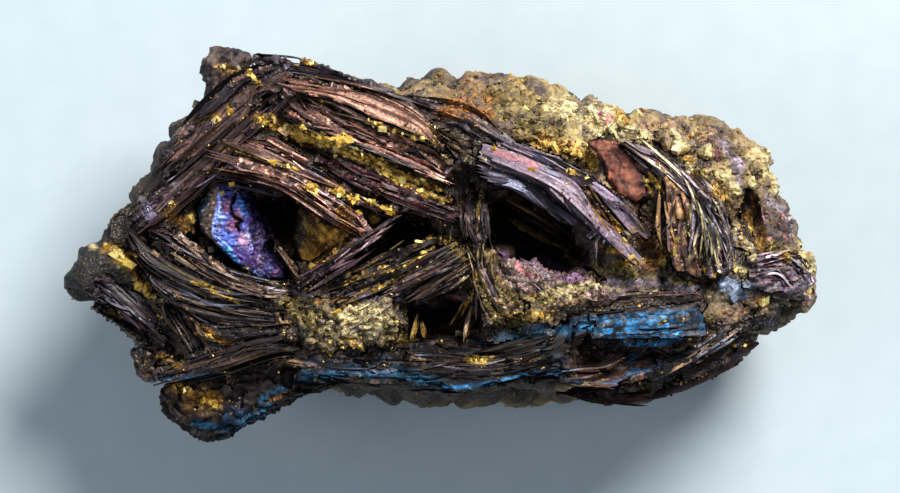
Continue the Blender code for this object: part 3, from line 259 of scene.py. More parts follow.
CRYSTALS = [  # the larger pyrite crystals: plan x, y and size in millimetres
    (-13.9, 10.9, 1.25), (-12.2, 10.1, 0.9), (-10.3, 10.3, 1.15), (-6.8, 8.3, 1.0), (-14.8, 11.5, 0.8),
    (-8.8, 9.1, 0.7), (-5.2, 6.7, 0.7), (-3.3, 5.8, 0.6), (-13.3, 5.6, 0.7), (-10.4, 5.2, 0.9),
    (-9.6, 4.9, 0.6), (-7.3, 4.2, 0.7), (-5.5, 3.4, 0.8), (-6.9, 2.5, 0.8), (-27.1, 4.2, 0.5),
    (-25.4, 2.7, 0.8), (-32.6, -0.7, 1.2), (-31.4, -1.9, 1.1), (-33.8, -0.3, 0.8), (-30.6, -4.0, 1.0),
    (-29.7, -4.9, 0.8), (-21.3, 13.2, 0.8), (-22.7, 12.4, 0.8), (-25.9, -14.6, 0.6), (-24.1, -15.6, 0.7),
    (-23.0, -16.2, 0.7), (-27.7, -11.4, 0.9), (2.3, -3.3, 0.5), (8.6, 7.5, 0.5), (5.0, 9.5, 0.5),
    (12.7, 7.3, 0.7), (14.0, 6.6, 0.5), (17.8, 0.5, 0.5), (24.6, 11.0, 0.6), (33.7, -1.2, 0.8),
    (16.4, -0.5, 0.7), (-21.1, 6.0, 0.6), (-22.2, 5.2, 0.5), (-20.0, -2.4, 0.6), (-22.0, 17.7, 0.6),
    (-19.3, 17.3, 0.6), (-16.9, 12.2, 0.7), (-15.9, 11.7, 0.9), (-14.4, 10.9, 1.5), (-13.1, 10.5, 1.1),
    (-11.4, 10.0, 0.9), (-9.6, 10.4, 1.3), (-8.2, 9.2, 0.9), (-7.6, 8.9, 0.8), (-6.0, 8.0, 0.9),
    (-5.6, 7.3, 1.1), (-4.3, 6.6, 0.8), (-2.4, 5.3, 0.8), (-1.2, 4.9, 0.7), (-0.3, 4.4, 0.7),
    (-14.0, 11.8, 0.8), (-10.9, 9.4, 0.7), (-7.0, 11.9, 0.6), (-6.2, 11.5, 0.7), (-4.2, 10.9, 0.6),
    (-12.9, 5.4, 0.9), (-8.8, 4.6, 0.8), (-6.4, 3.6, 0.8), (-8.1, 2.9, 0.7), (28.9, -2.5, 0.7),
    (24.2, 1.1, 0.5), (25.8, -2.3, 0.6), (26.7, -3.1, 0.6), (-12.0, 13.9, 0.6), (-5.0, 11.3, 0.5),
    (-3.0, 10.7, 0.5), (3.4, -11.5, 0.8), (7.8, -7.2, 0.6), (9.6, -6.9, 0.6), (31.7, -5.6, 1.0),
    (36.4, -4.7, 0.5),
]
FRAY = 1.3              # how far a vein's frayed edge may reach, in half widths


def ledger(veins):
    """Which veins pass near each square millimetre."""
    book_of = {}
    for mineral, half, *points in veins:
        for a, b in zip(points, points[1:]):
            (x0, x1), (y0, y1) = [(math.floor(min(p, q) - half * FRAY), math.floor(max(p, q) + half * FRAY))
                                  for p, q in zip(a, b)]
            for i in range(x0, x1 + 1):
                for j in range(y0, y1 + 1):
                    book_of.setdefault((i, j), []).append((mineral, half, a, b))
    return book_of


def off_line(x, y, a, b):
    """Distance of a plan point from the segment a to b."""
    dx, dy = b[0] - a[0], b[1] - a[1]
    t = clamp(((x - a[0]) * dx + (y - a[1]) * dy) / (dx * dx + dy * dy + 1e-9))
    return math.hypot(x - a[0] - t * dx, y - a[1] - t * dy)


def veined(co, colour, strength):
    """The colour at a point once the veins have run over it, and how far they lift it."""
    x, y = co.x / MM, co.y / MM
    lift = 0.0
    entries = VEIN_BOOK.get((math.floor(x), math.floor(y)))
    if entries:
        frayed = noise.noise(co / (0.45 * MM)) * 0.45 + noise.noise(co / (0.16 * MM)) * 0.25
        pick = noise.cell(co / (0.28 * MM)) * 0.5 + 0.5
        for mineral, half, a, b in entries:
            share = (half * (1.0 + frayed) - off_line(x, y, a, b)) / (0.3 * half + 0.06)
            if share > 0:
                hues, rise, _, _ = MINERALS[mineral]
                tone = hues[min(int(pick * len(hues)), len(hues) - 1)]
                colour = blend(colour, tone, share * strength)
                lift += (rise - lift) * min(share, 1)
    return colour, lift


VEIN_BOOK = ledger(VEINS)
GROUND = []             # surfaces that grains can lie on: plan box and search tree


def placed(name, data):
    made = bpy.data.objects.new(name, data)
    bpy.context.scene.collection.objects.link(made)
    return made


def finish_piece(name, bm, material, nodes, crease=32, ground=True):
    """Turn a bmesh into a named piece with its material, riding on the specimen."""
    bmesh.ops.recalc_face_normals(bm, faces=bm.faces)
    if ground:
        xs, ys = [v.co.x for v in bm.verts], [v.co.y for v in bm.verts]
        GROUND.append((min(xs), max(xs), min(ys), max(ys), BVHTree.FromBMesh(bm)))
    mesh = bpy.data.meshes.new(name)
    bm.to_mesh(mesh)
    bm.free()
    mesh.shade_smooth()
    mesh.set_sharp_from_angle(angle=math.radians(crease))
    mesh.materials.append(material)
    piece = placed(name, mesh)
    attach(piece, "root")
    if nodes:
        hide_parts(*nodes)


def node_skin(node, voxel, relax=2):
    """An even, dense copy of a CAD solid's surface, ready to be worked."""
    bm = bmesh.new()
    bm.from_mesh(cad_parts[node].data)
    bmesh.ops.remove_doubles(bm, verts=bm.verts, dist=1e-6)
    mesh = bpy.data.meshes.new("skin")
    bm.to_mesh(mesh)
    bm.free()
    holder = placed("skin", mesh)
    remesh = holder.modifiers.new("remesh", "REMESH")
    remesh.mode = "VOXEL"
    remesh.voxel_size = voxel
    view = bpy.context.evaluated_depsgraph_get()
    dense = bpy.data.meshes.new_from_object(holder.evaluated_get(view))
    bm = bmesh.new()
    bm.from_mesh(dense)
    bpy.data.objects.remove(holder, do_unlink=True)
    for _ in range(relax):
        bmesh.ops.smooth_vert(bm, verts=bm.verts, factor=0.5,
                              use_axis_x=True, use_axis_y=True, use_axis_z=True)
    bm.normal_update()
    return bm


def cells(point, scale):
    """Cobbled grains: 0 in the cracks between grains, about 1 on their crowns."""
    distances, _ = noise.voronoi(point / scale)
    return min((distances[1] - distances[0]) * 2.2, 1.0)


def near(point, x, y, radius):
    """1 at a plan position in millimetres, fading to 0 at its radius."""
    away = math.hypot(point.x / MM - x, point.y / MM - y) / radius
    return max(0.0, 1.0 - away * away)


def wire(tree, kind, **values):
    """Add a shader node; values are its properties, or its inputs by number or name."""
    made = tree.nodes.new(kind)
    for key, value in values.items():
        if key.startswith("in_"):
            place = key[3:].replace("_", " ")
            socket = made.inputs[int(place)] if place.isdigit() else made.inputs[place]
            if isinstance(value, bpy.types.NodeSocket):
                tree.links.new(value, socket)
            else:
                socket.default_value = value
        else:
            setattr(made, key, value)
    return made


def ramp(tree, factor, *stops):
    """A colour that goes through stops, each a place and a colour or one number for a grey."""
    made = wire(tree, "ShaderNodeValToRGB", in_Fac=factor)
    band = made.color_ramp
    while len(band.elements) < len(stops):
        band.elements.new(0.5)
    for element, (place, colour) in zip(band.elements, stops):
        element.position = place
        element.color = (*colour, 1) if isinstance(colour, tuple) else (colour, colour, colour, 1)
    return made.outputs["Color"]


def mix(tree, kind, share, a, b):
    made = wire(tree, "ShaderNodeMix", data_type="RGBA", blend_type=kind, in_0=share)
    for index, value in ((6, a), (7, b)):
        if isinstance(value, bpy.types.NodeSocket):
            tree.links.new(value, made.inputs[index])
        else:
            made.inputs[index].default_value = (*value, 1)
    return made.outputs[2]


def noisy(tree, where, scale, detail, rough=0.5):
    return wire(tree, "ShaderNodeTexNoise", in_Vector=where, in_Scale=scale, in_Detail=detail,
                in_Roughness=rough).outputs["Fac"]


def attribute(tree, name, output="Color"):
    return wire(tree, "ShaderNodeAttribute", attribute_name=name).outputs[output]


def shader(name, metallic, specular=0.5):
    material = bpy.data.materials.new(name)
    material.use_nodes = True
    tree = material.node_tree
    main = tree.nodes["Principled BSDF"]
    main.inputs["Metallic"].default_value = metallic
    main.inputs["Specular IOR Level"].default_value = specular
    here = wire(tree, "ShaderNodeTexCoord").outputs["Object"]
    return material, tree, main, here


def coat(tree, main, colour, rough, bump=None):
    """Lead a colour, a roughness and a relief (strength, depth, height) into the shader."""
    tree.links.new(colour, main.inputs["Base Color"])
    tree.links.new(rough, main.inputs["Roughness"])
    if bump:
        relief = wire(tree, "ShaderNodeBump", in_Strength=bump[0], in_Distance=bump[1], in_Height=bump[2])
        tree.links.new(relief.outputs["Normal"], main.inputs["Normal"])


def grainy(name, metallic, rough, speck, speck_share, bump, grain=0.45, contrast=(0.45, 1.45), specular=0.5):
    """Rock and crust: the piece's own tint broken up by grains, cracks and bright specks.
    Speck is the colour of the finest crystals, and grain their size in millimetres."""
    material, tree, main, here = shader(name, metallic, specular)
    tint = attribute(tree, "tint")
    coarse = noisy(tree, here, 900, 6, 0.65)
    grains = wire(tree, "ShaderNodeTexVoronoi", in_Vector=here, in_Scale=1000 / grain, in_Randomness=1.0)
    cell, edge = grains.outputs["Color"], grains.outputs["Distance"]
    fine = noisy(tree, here, 5200, 4)
    low, high = contrast
    colour = mix(tree, "MULTIPLY", 1.0, tint, ramp(tree, coarse, (0.3, low), (0.5, 0.95), (0.7, high)))
    colour = mix(tree, "MULTIPLY", 0.9, colour, ramp(tree, cell, (0.1, 0.62), (0.9, 1.35)))
    dots = ramp(tree, fine, (0.60, 0), (0.66, speck_share))
    dots = wire(tree, "ShaderNodeSeparateColor", in_Color=dots).outputs[0]
    colour = mix(tree, "MIX", dots, colour, speck)
    gloss = ramp(tree, cell, (0.0, rough[0]), (1.0, rough[1]))
    coat(tree, main, colour, gloss, (bump, 0.0003, mix(tree, "MIX", 0.45, edge, coarse)))
    return material


BLADE_ZONE = ((-30, -1, 9), (-23, 5, 10), (-14, 10, 9), (-6, 6, 10), (2, 2, 10), (8, 3, 8),
              (-20, -8, 11), (-8, -8, 11), (4, -8, 11), (14, -10, 9), (15, 1, 5))
ROCK_PATCHES = [  # plan x, y, radius, colour
    (2, 13.5, 5.5, rgb(120, 88, 50)), (7.5, 14, 4.5, rgb(128, 108, 58)), (13, 13, 5, rgb(168, 148, 98)),
    (-2, 16, 3, rgb(120, 100, 66)), (17, 12.5, 4, rgb(158, 136, 88)), (21, 11, 3, rgb(128, 108, 78)),
    (25, 10.5, 4, rgb(128, 108, 76)), (28, 8, 4, rgb(140, 120, 84)), (32, 7, 3, rgb(150, 130, 84)),
    (33, 3, 4, rgb(84, 68, 72)), (22, -1, 5, rgb(112, 84, 48)), (25, -3, 5, rgb(104, 92, 70)),
    (31, -3, 4, rgb(98, 86, 84)), (35, -6, 4, rgb(92, 80, 60)), (28, -8, 4, rgb(72, 64, 62)),
    (18, -4, 5, rgb(108, 92, 76)), (12, -6, 5, rgb(112, 96, 70)), (-34.5, -2, 5.5, rgb(20, 15, 17)),
    (-31, 1, 2.4, rgb(70, 50, 28)), (-27, -12, 5, rgb(52, 40, 30)),
]


def in_blades(co):
    """How far a point lies among the blades, where the rock is bare and painted near-black:
    dark sulphide, and painted shade in the pits between them.
    """
    return max(near(co, x, y, radius) for x, y, radius in BLADE_ZONE)


def rock_colour(co, normal):
    wave = noise.fractal(co / (6 * MM), 1.0, 2.0, 4)
    wisp = noise.fractal(co / (2.2 * MM) + Vector((7, 3, 1)), 1.0, 2.0, 3)
    fleck = noise.fractal(co / (0.7 * MM) + Vector((1, 9, 4)), 1.0, 2.0, 3)
    sulphide = noise.fractal(co / (7 * MM) + Vector((4, 8, 2)), 1.0, 2.0, 3)
    colour = layered(blend(rgb(92, 74, 50), rgb(136, 114, 74), 0.5 + wave * 1.3), *[
        (patch, 1.4 * near(co, x, y, radius) * (0.75 + wisp)) for x, y, radius, patch in ROCK_PATCHES])
    colour = layered(colour, (rgb(70, 56, 58), 0.15 + wisp * 1.5 + fleck * 0.8),
                     (rgb(180, 160, 112), fleck * 1.4 - 0.35),
                     (rgb(50, 42, 46), (sulphide * 3.2 - 0.5) * clamp(1 - normal.z * 1.5)))
    # Among the blades the rock goes near-black: partly dark sulphide, partly painted shade of the pits
    # between them.
    if normal.z > -0.2 and co.z > 9 * MM:
        dark = blend(rgb(26, 19, 22), rgb(54, 40, 40), 0.5 + wisp * 1.4)
        colour = blend(colour, dark, 2.2 * in_blades(co))
    # Steep sides, the front ones most, take earthy mottles and light patches: partly the rock's own earthy
    # colour, partly painted fill light where the front lies in shade.
    side = clamp((0.35 - normal.z) * 1.6) * (1 if co.y < 0 else 0.35)
    earthy_and_fill_light = blend(rgb(50, 40, 40), rgb(126, 102, 72), 0.5 + wisp * 2 + wave * 1.5)
    colour = layered(colour, (earthy_and_fill_light, 0.75 * side),
                     (rgb(150, 124, 74), (wave + fleck * 0.8) * 1.5 * side - 0.25),
                     (scaled(rgb(26, 21, 25), 1 + wisp), 1.7 * near(co, -34.6, -2.6, 5.6)))
    if co.z < 3 * MM:
        colour = blend(colour, rgb(74, 58, 44), 0.5)
    if co.y < -11 * MM and co.z < 18 * MM:
        low = min(max((co.z / MM - 5) / 4, 0.2), 0.88)
        colour = blend(colour, blend(rgb(22, 20, 20), rgb(58, 48, 38), 0.35 + wisp * 1.6), low)
    return colour


rock = node_skin("matrix", 0.44 * MM)
fine = [e for e in rock.edges if e.verts[0].co.x > 1 * MM and e.verts[0].normal.z > 0.25]
bmesh.ops.subdivide_edges(rock, edges=fine, cuts=1, use_grid_fill=True)
rock.normal_update()
rock_tint = rock.verts.layers.float_color.new("tint")
for v in rock.verts:
    crown = cells(v.co, 1.3 * MM)
    cobble = cells(v.co + Vector((0, 0, 3 * MM)), 3.8 * MM)
    cobble *= 2 - cobble
    swell = noise.fractal(v.co / (5 * MM), 0.9, 2.1, 4) * 0.8
    fret = noise.fractal(v.co / (0.9 * MM), 0.9, 2.1, 3) * 0.22
    keep = clamp((v.co.z - 0.4 * MM) / (2 * MM))
    colour = rock_colour(v.co, v.normal)
    lift = 0.0
    if v.normal.z > 0.1 and v.co.z > (12 if v.co.y > -11 * MM else 19) * MM:
        colour, lift = veined(v.co, colour, min(v.normal.z * 2.2, 1))
    back = clamp((v.co.y / MM + v.co.x / MM * 0.1 - 9.5) / 2)
    steep = clamp(0.7 - v.normal.z) * keep
    soft = max(back, clamp((-10 - v.co.y / MM) / 2))
    shade = 0.78 + 0.34 * crown + 0.6 * fret + soft * (0.22 * cobble - 0.3 * crown + 0.1)
    # on steep sides the cobble crowns are painted lighter and the dips between them darker: painted
    # highlight and shade that bring out the lumps
    shade *= 1 + 0.6 * (cobble - 0.45) * steep
    v[rock_tint] = (*scaled(colour, shade), 1)
    tip = clamp((-32.5 - v.co.x / MM) / 3)
    fret *= 1 - 0.75 * soft
    crown *= 1 - 0.7 * soft
    cobble *= 1 + 0.5 * back + 0.9 * steep
    swell *= 1 + 0.5 * steep
    v.co += v.normal * (swell + fret + crown * 0.26 + cobble * 0.6 + lift - 0.7 + tip * 1.1) * MM * keep
    v.co.y -= 1.3 * MM * near(v.co, -8, 18.5, 7)
    v.co.z = max(v.co.z, 0.0)
rock.normal_update()
rock_finish = grainy("matrix rock", 0.1, (0.5, 0.85), rgb(170, 148, 94), 0.3, 0.9, contrast=(0.45, 1.4))
finish_piece("matrix_rock", rock, rock_finish, ["matrix"], crease=60)

# ---------------------------------------------------------------------------------------
# Upper-left slab.  Two thick books of near-black covellite sheets, grown edge to edge and
# broken off at both ends; their edges show as fine parallel lines.


def rails(ribs, lean):
    """Smooth top of a book: at(u, v) is u along it from 0 to 1 and v across it."""
    tops = [(Vector((ax, ay, z + lean / 2)), Vector((bx, by, z - lean / 2)))
            for ax, ay, bx, by, z in ribs]
    first = [p - (q - p) for p, q in zip(tops[0], tops[1])]
    last = [p + (p - q) for p, q in zip(tops[-1], tops[-2])]
    tops = [first] + tops + [last]
    spans = len(ribs) - 1

    def at(u, v):
        k = min(max(int(u * spans), 0), spans - 1)
        t = u * spans - k
        points = [row[0].lerp(row[1], v) for row in tops[k:k + 4]]
        if t < 0 or t > 1:
            end = 1 if t < 0 else 2
            return points[end] + (points[2] - points[1]) * (t if t < 0 else t - 1)
        a, b, c, d = points
        return 0.5 * (2 * b + (c - a) * t + (2 * a - 5 * b + 4 * c - d) * t * t
                      + (3 * b - a - 3 * c + d) * t ** 3)
    length = sum((tops[i + 1][0].lerp(tops[i + 1][1], 0.5) - tops[i][0].lerp(tops[i][1], 0.5)).length
                 for i in range(1, spans + 1))
    width = max((a - b).length for a, b in tops[1:-1])
    return at, length, width


def sheet(bm, at, length, width, run, across, lift, tilt, deep, tone, rng, slant=(0, 0), ragged=0.6,
          fret=1.0):
    """One crystal sheet: a closed slab following the book between run[0] and run[1], from
    across[0] to across[1], tipped by tilt across itself and tapered at its ends.  Its top is
    made of fine parallel strips, each stepped, toned and broken off a little differently."""
    rows = max(int(length * (run[1] - run[0]) / 0.45), 3)
    wide = (across[1] - across[0]) * width
    cols = min(max(round(wide / 0.17), 1), 10)
    made = bmesh.ops.create_grid(bm, x_segments=rows, y_segments=cols, size=0.5)["verts"]
    grain = bm.verts.layers.float_vector["grain"]
    tint = bm.verts.layers.float_color["tint"]
    seed = rng.uniform(0, 90)
    ends = [(rng.gauss(0, ragged), rng.gauss(0, ragged)) for _ in range(cols + 1)]
    strips = [(rng.gauss(0, 0.045) * fret, min(max(rng.gauss(1, 0.17 * fret), 0.5), 1.5))
              for _ in range(cols + 1)]
    taper = [rng.uniform(0.1, 0.95) * fret, rng.uniform(0.1, 0.95) * fret]
    pull = rng.uniform(0, 1)
    bite = rng.uniform(0.0, 0.06)
    skew = rng.uniform(-0.9, 0.9)
    for v in made:
        u, s = v.co.x + 0.5, v.co.y + 0.5
        line = round(s * cols)
        start = max(0.0, 1 - u * 5) * ends[line][0]
        finish = max(0.0, 1 - (1 - u) * 5) * ends[line][1]
        along = run[0] + u * (run[1] - run[0]) + (start + finish + skew * (s - 0.5) * wide) / length
        far = along * length
        edge = noise.cell((far * 1.1, seed, s * 2)) * bite
        narrow = 1 - taper[0] * max(0.0, 1 - u * 4) - taper[1] * max(0.0, 1 - (1 - u) * 4)
        s_in = pull + (s - pull) * max(narrow, 0.12)
        place = at(along, across[0] + s_in * (across[1] - across[0]) + edge * (s - 0.5))
        stair = noise.cell((far * 0.5 + line * 1.7, line * 3.1, seed)) * fret
        sway = noise.noise((far * 0.3, seed, 3)) * 0.05
        place.z += lift + strips[line][0] + stair * 0.06 + sway + tilt * (s - 0.5) * wide
        v.co = place * MM
        v[grain] = (far, s * wide + seed, seed)
        worn = strips[line][1] * (1 + 0.13 * stair) * (1 + 0.6 * noise.noise((far * 0.45, s * 2, seed)))
        colour, _ = veined(v.co, scaled(tone, worn), 0.5)
        v[tint] = (*colour, 1)
    faces = list(dict.fromkeys(f for v in made for f in v.link_faces))
    below = bmesh.ops.extrude_face_region(bm, geom=faces)["geom"]
    shift = Vector((slant[0] * deep / 7, slant[1] * deep / 7, -deep))
    for v in below:
        if isinstance(v, bmesh.types.BMVert):
            v.co += shift * MM * (1 + 0.9 * noise.noise(v.co / (0.6 * MM)))
            v[grain].y += deep


def core_of(node, ribs, palette, shrink, relief, pitch):
    """The massive body of a book: its own solid, broken into long overlapping terraces that
    run with the blades, each with its own tone, and splintered along them."""
    bm = node_skin(node, 0.2 * MM, relax=1)
    grain = bm.verts.layers.float_vector.new("grain")
    tint = bm.verts.layers.float_color.new("tint")
    middle = [Vector(((ax + bx) / 2, (ay + by) / 2)) for ax, ay, bx, by, z in ribs]
    seed = sum(ord(letter) for letter in node) * 0.37
    for v in bm.verts:
        spot = Vector((v.co.x / MM, v.co.y / MM))
        best, gone = None, 0.0
        for p, q in zip(middle, middle[1:]):
            line = q - p
            reach = line.length
            t = clamp((spot - p).dot(line) / reach ** 2)
            off = spot - p - line * t
            if best is None or off.length < best[0]:
                away = (spot - p).dot(line) / reach
                best = (off.length, gone + away, line.cross(spot - p) / reach)
            gone += reach
        s, d = best[1], best[2] + v.co.z / MM * 0.6
        rough = noise.fractal(v.co / (1.3 * MM), 1.0, 2.1, 3)
        wander = noise.noise((s * 0.22, d * 0.5, seed))
        broad = d / pitch + wander * 0.9 + seed
        fine = d / (pitch * 0.36) + wander * 1.6 + noise.noise((s * 0.5, d, seed)) * 0.7
        snapped = noise.cell((s * 0.4 + math.floor(broad) * 1.7, math.floor(broad), seed))
        nick = noise.cell((s * 0.9 + math.floor(fine) * 2.3, math.floor(fine), seed + 5))
        ridge = (broad % 1 - 0.5) * 0.55 + (fine % 1 - 0.5) * 0.24 + snapped * 0.22 + nick * 0.1
        tone = palette[int(abs(snapped * 7.3 + nick * 1.9) * 5) % len(palette)]
        worn = 0.72 + 0.55 * ridge + 0.22 * nick + 0.3 * rough
        facing = clamp(0.15 + v.normal.z * 1.8)
        layer = noise.noise((s * 0.25, d * 0.2, v.co.z / MM * 2.4 + wander)) * (1 - facing)
        # Faces turned from up go darker with layered tones: dark sulphide on the sheets' edges, and painted
        # shade of the sides.
        tone = blend(tone, blend(rgb(26, 21, 24), rgb(84, 66, 58), 0.4 + layer * 1.6), 0.7 * (1 - facing))
        colour, lift = veined(v.co, scaled(tone, max(worn, 0.12)), 0.8 * facing)
        v[grain] = (s, d, seed)
        v[tint] = (*colour, 1)
        v.co += v.normal * (ridge * relief + rough * 0.2 + layer * 0.4 - shrink) * MM
    bm.normal_update()
    return bm


THICKEST = 1.3      # of the sheets in a book, in millimetres


def dimmed(palette, factor):
    return [scaled(colour, factor) for colour in palette]


def book(node, ribs, palette, material, leaves=2, broad=0.3, splinters=12, under=6,
         lean=-0.5, slant=(0, 0), shrink=0.15, relief=1.0, pitch=1.3, plates=()):
    """A book of sheets: a ridged core with narrow sheets on edge and, for a share of them,
    broad flat laths, each snapped across once or twice, and splinters along it.  Plates
    gives (from, to, low edge, high edge, lift, tilt, tone, thickness) for single sheets."""
    rng = random.Random(node)
    at, length, width = rails(ribs, lean)
    bm = core_of(node, ribs, palette, shrink, relief, pitch)
    edges = [0.0]
    while edges[-1] < 0.999 and leaves:
        step = rng.uniform(0.5, 1.4) / leaves * (2.6 if rng.random() < broad else 1.0)
        edges.append(min(edges[-1] + step, 1.0))
    for low, high in zip(edges, edges[1:]):
        if rng.random() < 0.16:
            continue
        begin = -rng.uniform(0, 0.5) / length if rng.random() < 0.55 else rng.uniform(0.02, 0.4)
        end = 1 + rng.uniform(0, 0.5) / length if rng.random() < 0.55 else rng.uniform(0.6, 0.98)
        lift = rng.uniform(-0.3, 0.21)
        tilt = rng.uniform(-0.55, 0.55)
        tone = rng.choice(palette)
        shade = rng.uniform(0.65, 1.25)
        snaps = sorted([begin, end] + [rng.uniform(begin, end) for _ in range(rng.choice((0, 1, 1, 2)))])
        for a, b in zip(snaps, snaps[1:]):
            if (b - a) * length < 0.7:
                continue
            again = shade * rng.uniform(0.85, 1.15)
            sheet(bm, at, length, width, (a, b - rng.uniform(0, 0.15) / length), (low - 0.01, high + 0.01),
                  lift + rng.uniform(-0.12, 0.12), tilt + rng.uniform(-0.15, 0.15),
                  THICKEST * rng.uniform(0.5, 1.0), scaled(tone, again), rng, slant)
    for start, end, low, high, lift, tilt, tone, thick in plates:
        turn = rng.uniform(-0.16, 0.16)

        def turned(u, v, middle=(start + end) / 2, turn=turn, reach=end - start):
            return at(u, v + turn * (u - middle) / reach)
        sheet(bm, turned, length, width, (start, end), (low, high), lift, tilt, thick, tone, rng, fret=0.35,
              ragged=0.12)
    # Sheets below the book's edges: real lower sheets, their tones darkened to between a third and four
    # fifths as painted shade of the gaps between books.
    for _ in range(under):
        side = rng.choice((-1, 1))
        out = rng.uniform(0.0, 0.7) / max(width, 0.6)
        low = 1 + out - 0.1 if side > 0 else -out - rng.uniform(0.3, 0.6) / width
        a = rng.uniform(-0.02, 0.4)
        sheet(bm, at, length, width, (a, rng.uniform(a + 0.3, 1.02)),
              (low, low + rng.uniform(0.25, 0.6) / width), -rng.uniform(0.5, 1.6),
              rng.uniform(-0.6, 0.6), rng.uniform(0.5, 1.1),
              scaled(rng.choice(palette), rng.uniform(0.35, 0.8)), rng)
    for _ in range(splinters):
        reach = rng.uniform(1.0, 4.5) / length
        start = rng.uniform(0, max(1 - reach, 0.05))
        side = rng.uniform(-0.15, 0.95)
        wide = rng.uniform(0.08, 0.32) / width
        turn = rng.uniform(-0.35, 0.35)

        def askew(u, v, start=start, turn=turn, reach=reach):
            return at(u, v + turn * (u - start) / reach)
        sheet(bm, askew, length, width, (start, start + reach), (side, side + wide),
              rng.uniform(0.0, 0.3), rng.uniform(-0.8, 0.8), rng.uniform(0.15, 0.8),
              scaled(rng.choice(palette), rng.uniform(0.7, 1.5)), rng, ragged=0.2)
    finish_piece(node + "_sheets", bm, material, [node])


def striated(name, metallic, rough, sheen, bump=0.5, streak=(0.45, 1.55), patch=0.35, specular=0.5):
    """Covellite: the sheet's own tint drawn out into fine lines along its length, with
    clouds of tarnish in the sheen colour and a gloss that varies line by line.  Fine grit
    specks it, the brightest far above its tint: painted sparkle highlights."""
    material, tree, main, here = shader(name, metallic, specular)
    grain = attribute(tree, "grain", "Vector")
    tint = attribute(tree, "tint")
    long_way = wire(tree, "ShaderNodeMapping", in_Vector=grain, in_Scale=(0.9, 7.0, 1.0)).outputs[0]
    fine_way = wire(tree, "ShaderNodeMapping", in_Vector=grain, in_Scale=(2.4, 24.0, 1.0)).outputs[0]
    lines = noisy(tree, long_way, 1, 5, 0.7)
    hairs = noisy(tree, fine_way, 1, 3, 0.6)
    clouds = noisy(tree, here, 420, 5, 0.6)
    low, high = streak
    colour = mix(tree, "MULTIPLY", 1.0, tint, ramp(tree, lines, (0.32, low), (0.5, 0.9), (0.68, high)))
    colour = mix(tree, "MULTIPLY", 0.8, colour, ramp(tree, hairs, (0.36, 0.6), (0.64, 1.4)))
    grit_and_glints = noisy(tree, here, 3400, 4)
    # grit speckles the tint, its brightest specks raised to 2.4 times: painted sparkle highlights
    shade = ramp(tree, grit_and_glints, (0.36, 0.35), (0.47, 0.95), (0.62, 1.15), (0.7, 2.4))
    colour = mix(tree, "MULTIPLY", 0.85, colour, shade)
    where = ramp(tree, clouds, (0.52, 0), (0.68, patch))
    where = wire(tree, "ShaderNodeSeparateColor", in_Color=where).outputs[0]
    colour = mix(tree, "MIX", where, colour, sheen)
    gloss = ramp(tree, lines, (0.3, rough[0]), (0.7, rough[1]))
    height = mix(tree, "MIX", 0.4, mix(tree, "MIX", 0.5, lines, hairs), grit_and_glints)
    coat(tree, main, colour, gloss, (bump, 0.00015, height))
    return material


DARK = tones((56, 45, 46), (38, 30, 34), (78, 62, 58), (52, 42, 60), (100, 74, 66), (28, 23, 28))
dark_finish = striated("dark covellite", 0.3, (0.32, 0.58), rgb(66, 54, 64), patch=0.3)
book("arm_outer", [
    (-27.9, 9.5, -26.3, 6.9, 23.5), (-24.5, 13.2, -22.3, 10.3, 24.5), (-20.5, 16.5, -18.7, 13.5, 26),
    (-16.1, 18.3, -15.5, 15.9, 26.5),
], DARK, dark_finish, broad=0.25, lean=1.0, slant=(1.6, -1.4), shrink=0.0)
book("arm_inner", [
    (-31.2, 3.2, -29.5, 1.3, 22.5), (-26.3, 6.8, -24.5, 5.7, 25), (-22.3, 10.2, -20.7, 9.5, 26),
    (-18.7, 13.4, -17.7, 12.1, 27), (-15.5, 15.8, -15.4, 14.5, 27.5),
], tones((128, 98, 92), (94, 69, 64), (62, 45, 42), (48, 38, 50), (108, 94, 122)), dark_finish, leaves=4,
   broad=0.2, splinters=16, slant=(1.0, -0.9))

# ---------------------------------------------------------------------------------------
# Crest and bronze ribbons.  Long tabular blades with a bronze-pink sheen, stepped down from
# the dark crest; each is a pack of sheets that parted along its flat cleavage.
BRONZE = tones((164, 118, 104), (134, 98, 86), (100, 72, 64), (72, 50, 46), (184, 138, 120), (50, 35, 34),
               (122, 88, 74))
CREST = tones((70, 60, 70), (52, 44, 50), (90, 74, 74), (40, 34, 42), (104, 92, 100))
bronze_finish = striated("bronze covellite", 0.5, (0.26, 0.5), rgb(128, 104, 100), patch=0.2)
book("crest_left", [
    (-18.7, 18.7, -15.5, 16.1, 25), (-14.5, 18.4, -14.1, 16.8, 26), (-10.0, 16.9, -10.2, 15.8, 26),
    (-5.9, 15.3, -6.4, 14.3, 25),
], CREST, dark_finish, splinters=6, under=1, lean=1.2, slant=(0.4, -1.4), shrink=-0.1)
book("crest_right", [
    (-5.5, 15.2, -6.1, 14.2, 25), (-1.5, 14.2, -2.5, 12.5, 25.5), (2.5, 12.9, 1.7, 10.7, 26),
    (6.1, 10.5, 4.9, 9.2, 26),
], CREST, dark_finish, splinters=6, under=1, lean=1.0, slant=(0.2, -1.2), shrink=-0.1)
book("bronze_upper", [
    (-15.3, 16.5, -15.3, 15.3, 27), (-10.0, 15.6, -10.9, 14.4, 28), (-5.5, 14.1, -6.9, 12.6, 28),
    (-2.1, 12.1, -3.3, 11.2, 28), (0.1, 9.5, -0.4, 9.5, 27.5),
], dimmed(BRONZE, 1.35), bronze_finish, broad=0.7, splinters=8, lean=-0.4)
book("olive_ribbon", [
    (-2.3, 12.4, -1.9, 11.9, 26), (0.0, 11.3, 0.3, 9.5, 26), (2.0, 10.5, 3.3, 7.7, 26.5),
], tones((96, 84, 60), (120, 104, 70), (60, 48, 46)), bronze_finish, splinters=8,
   lean=0)
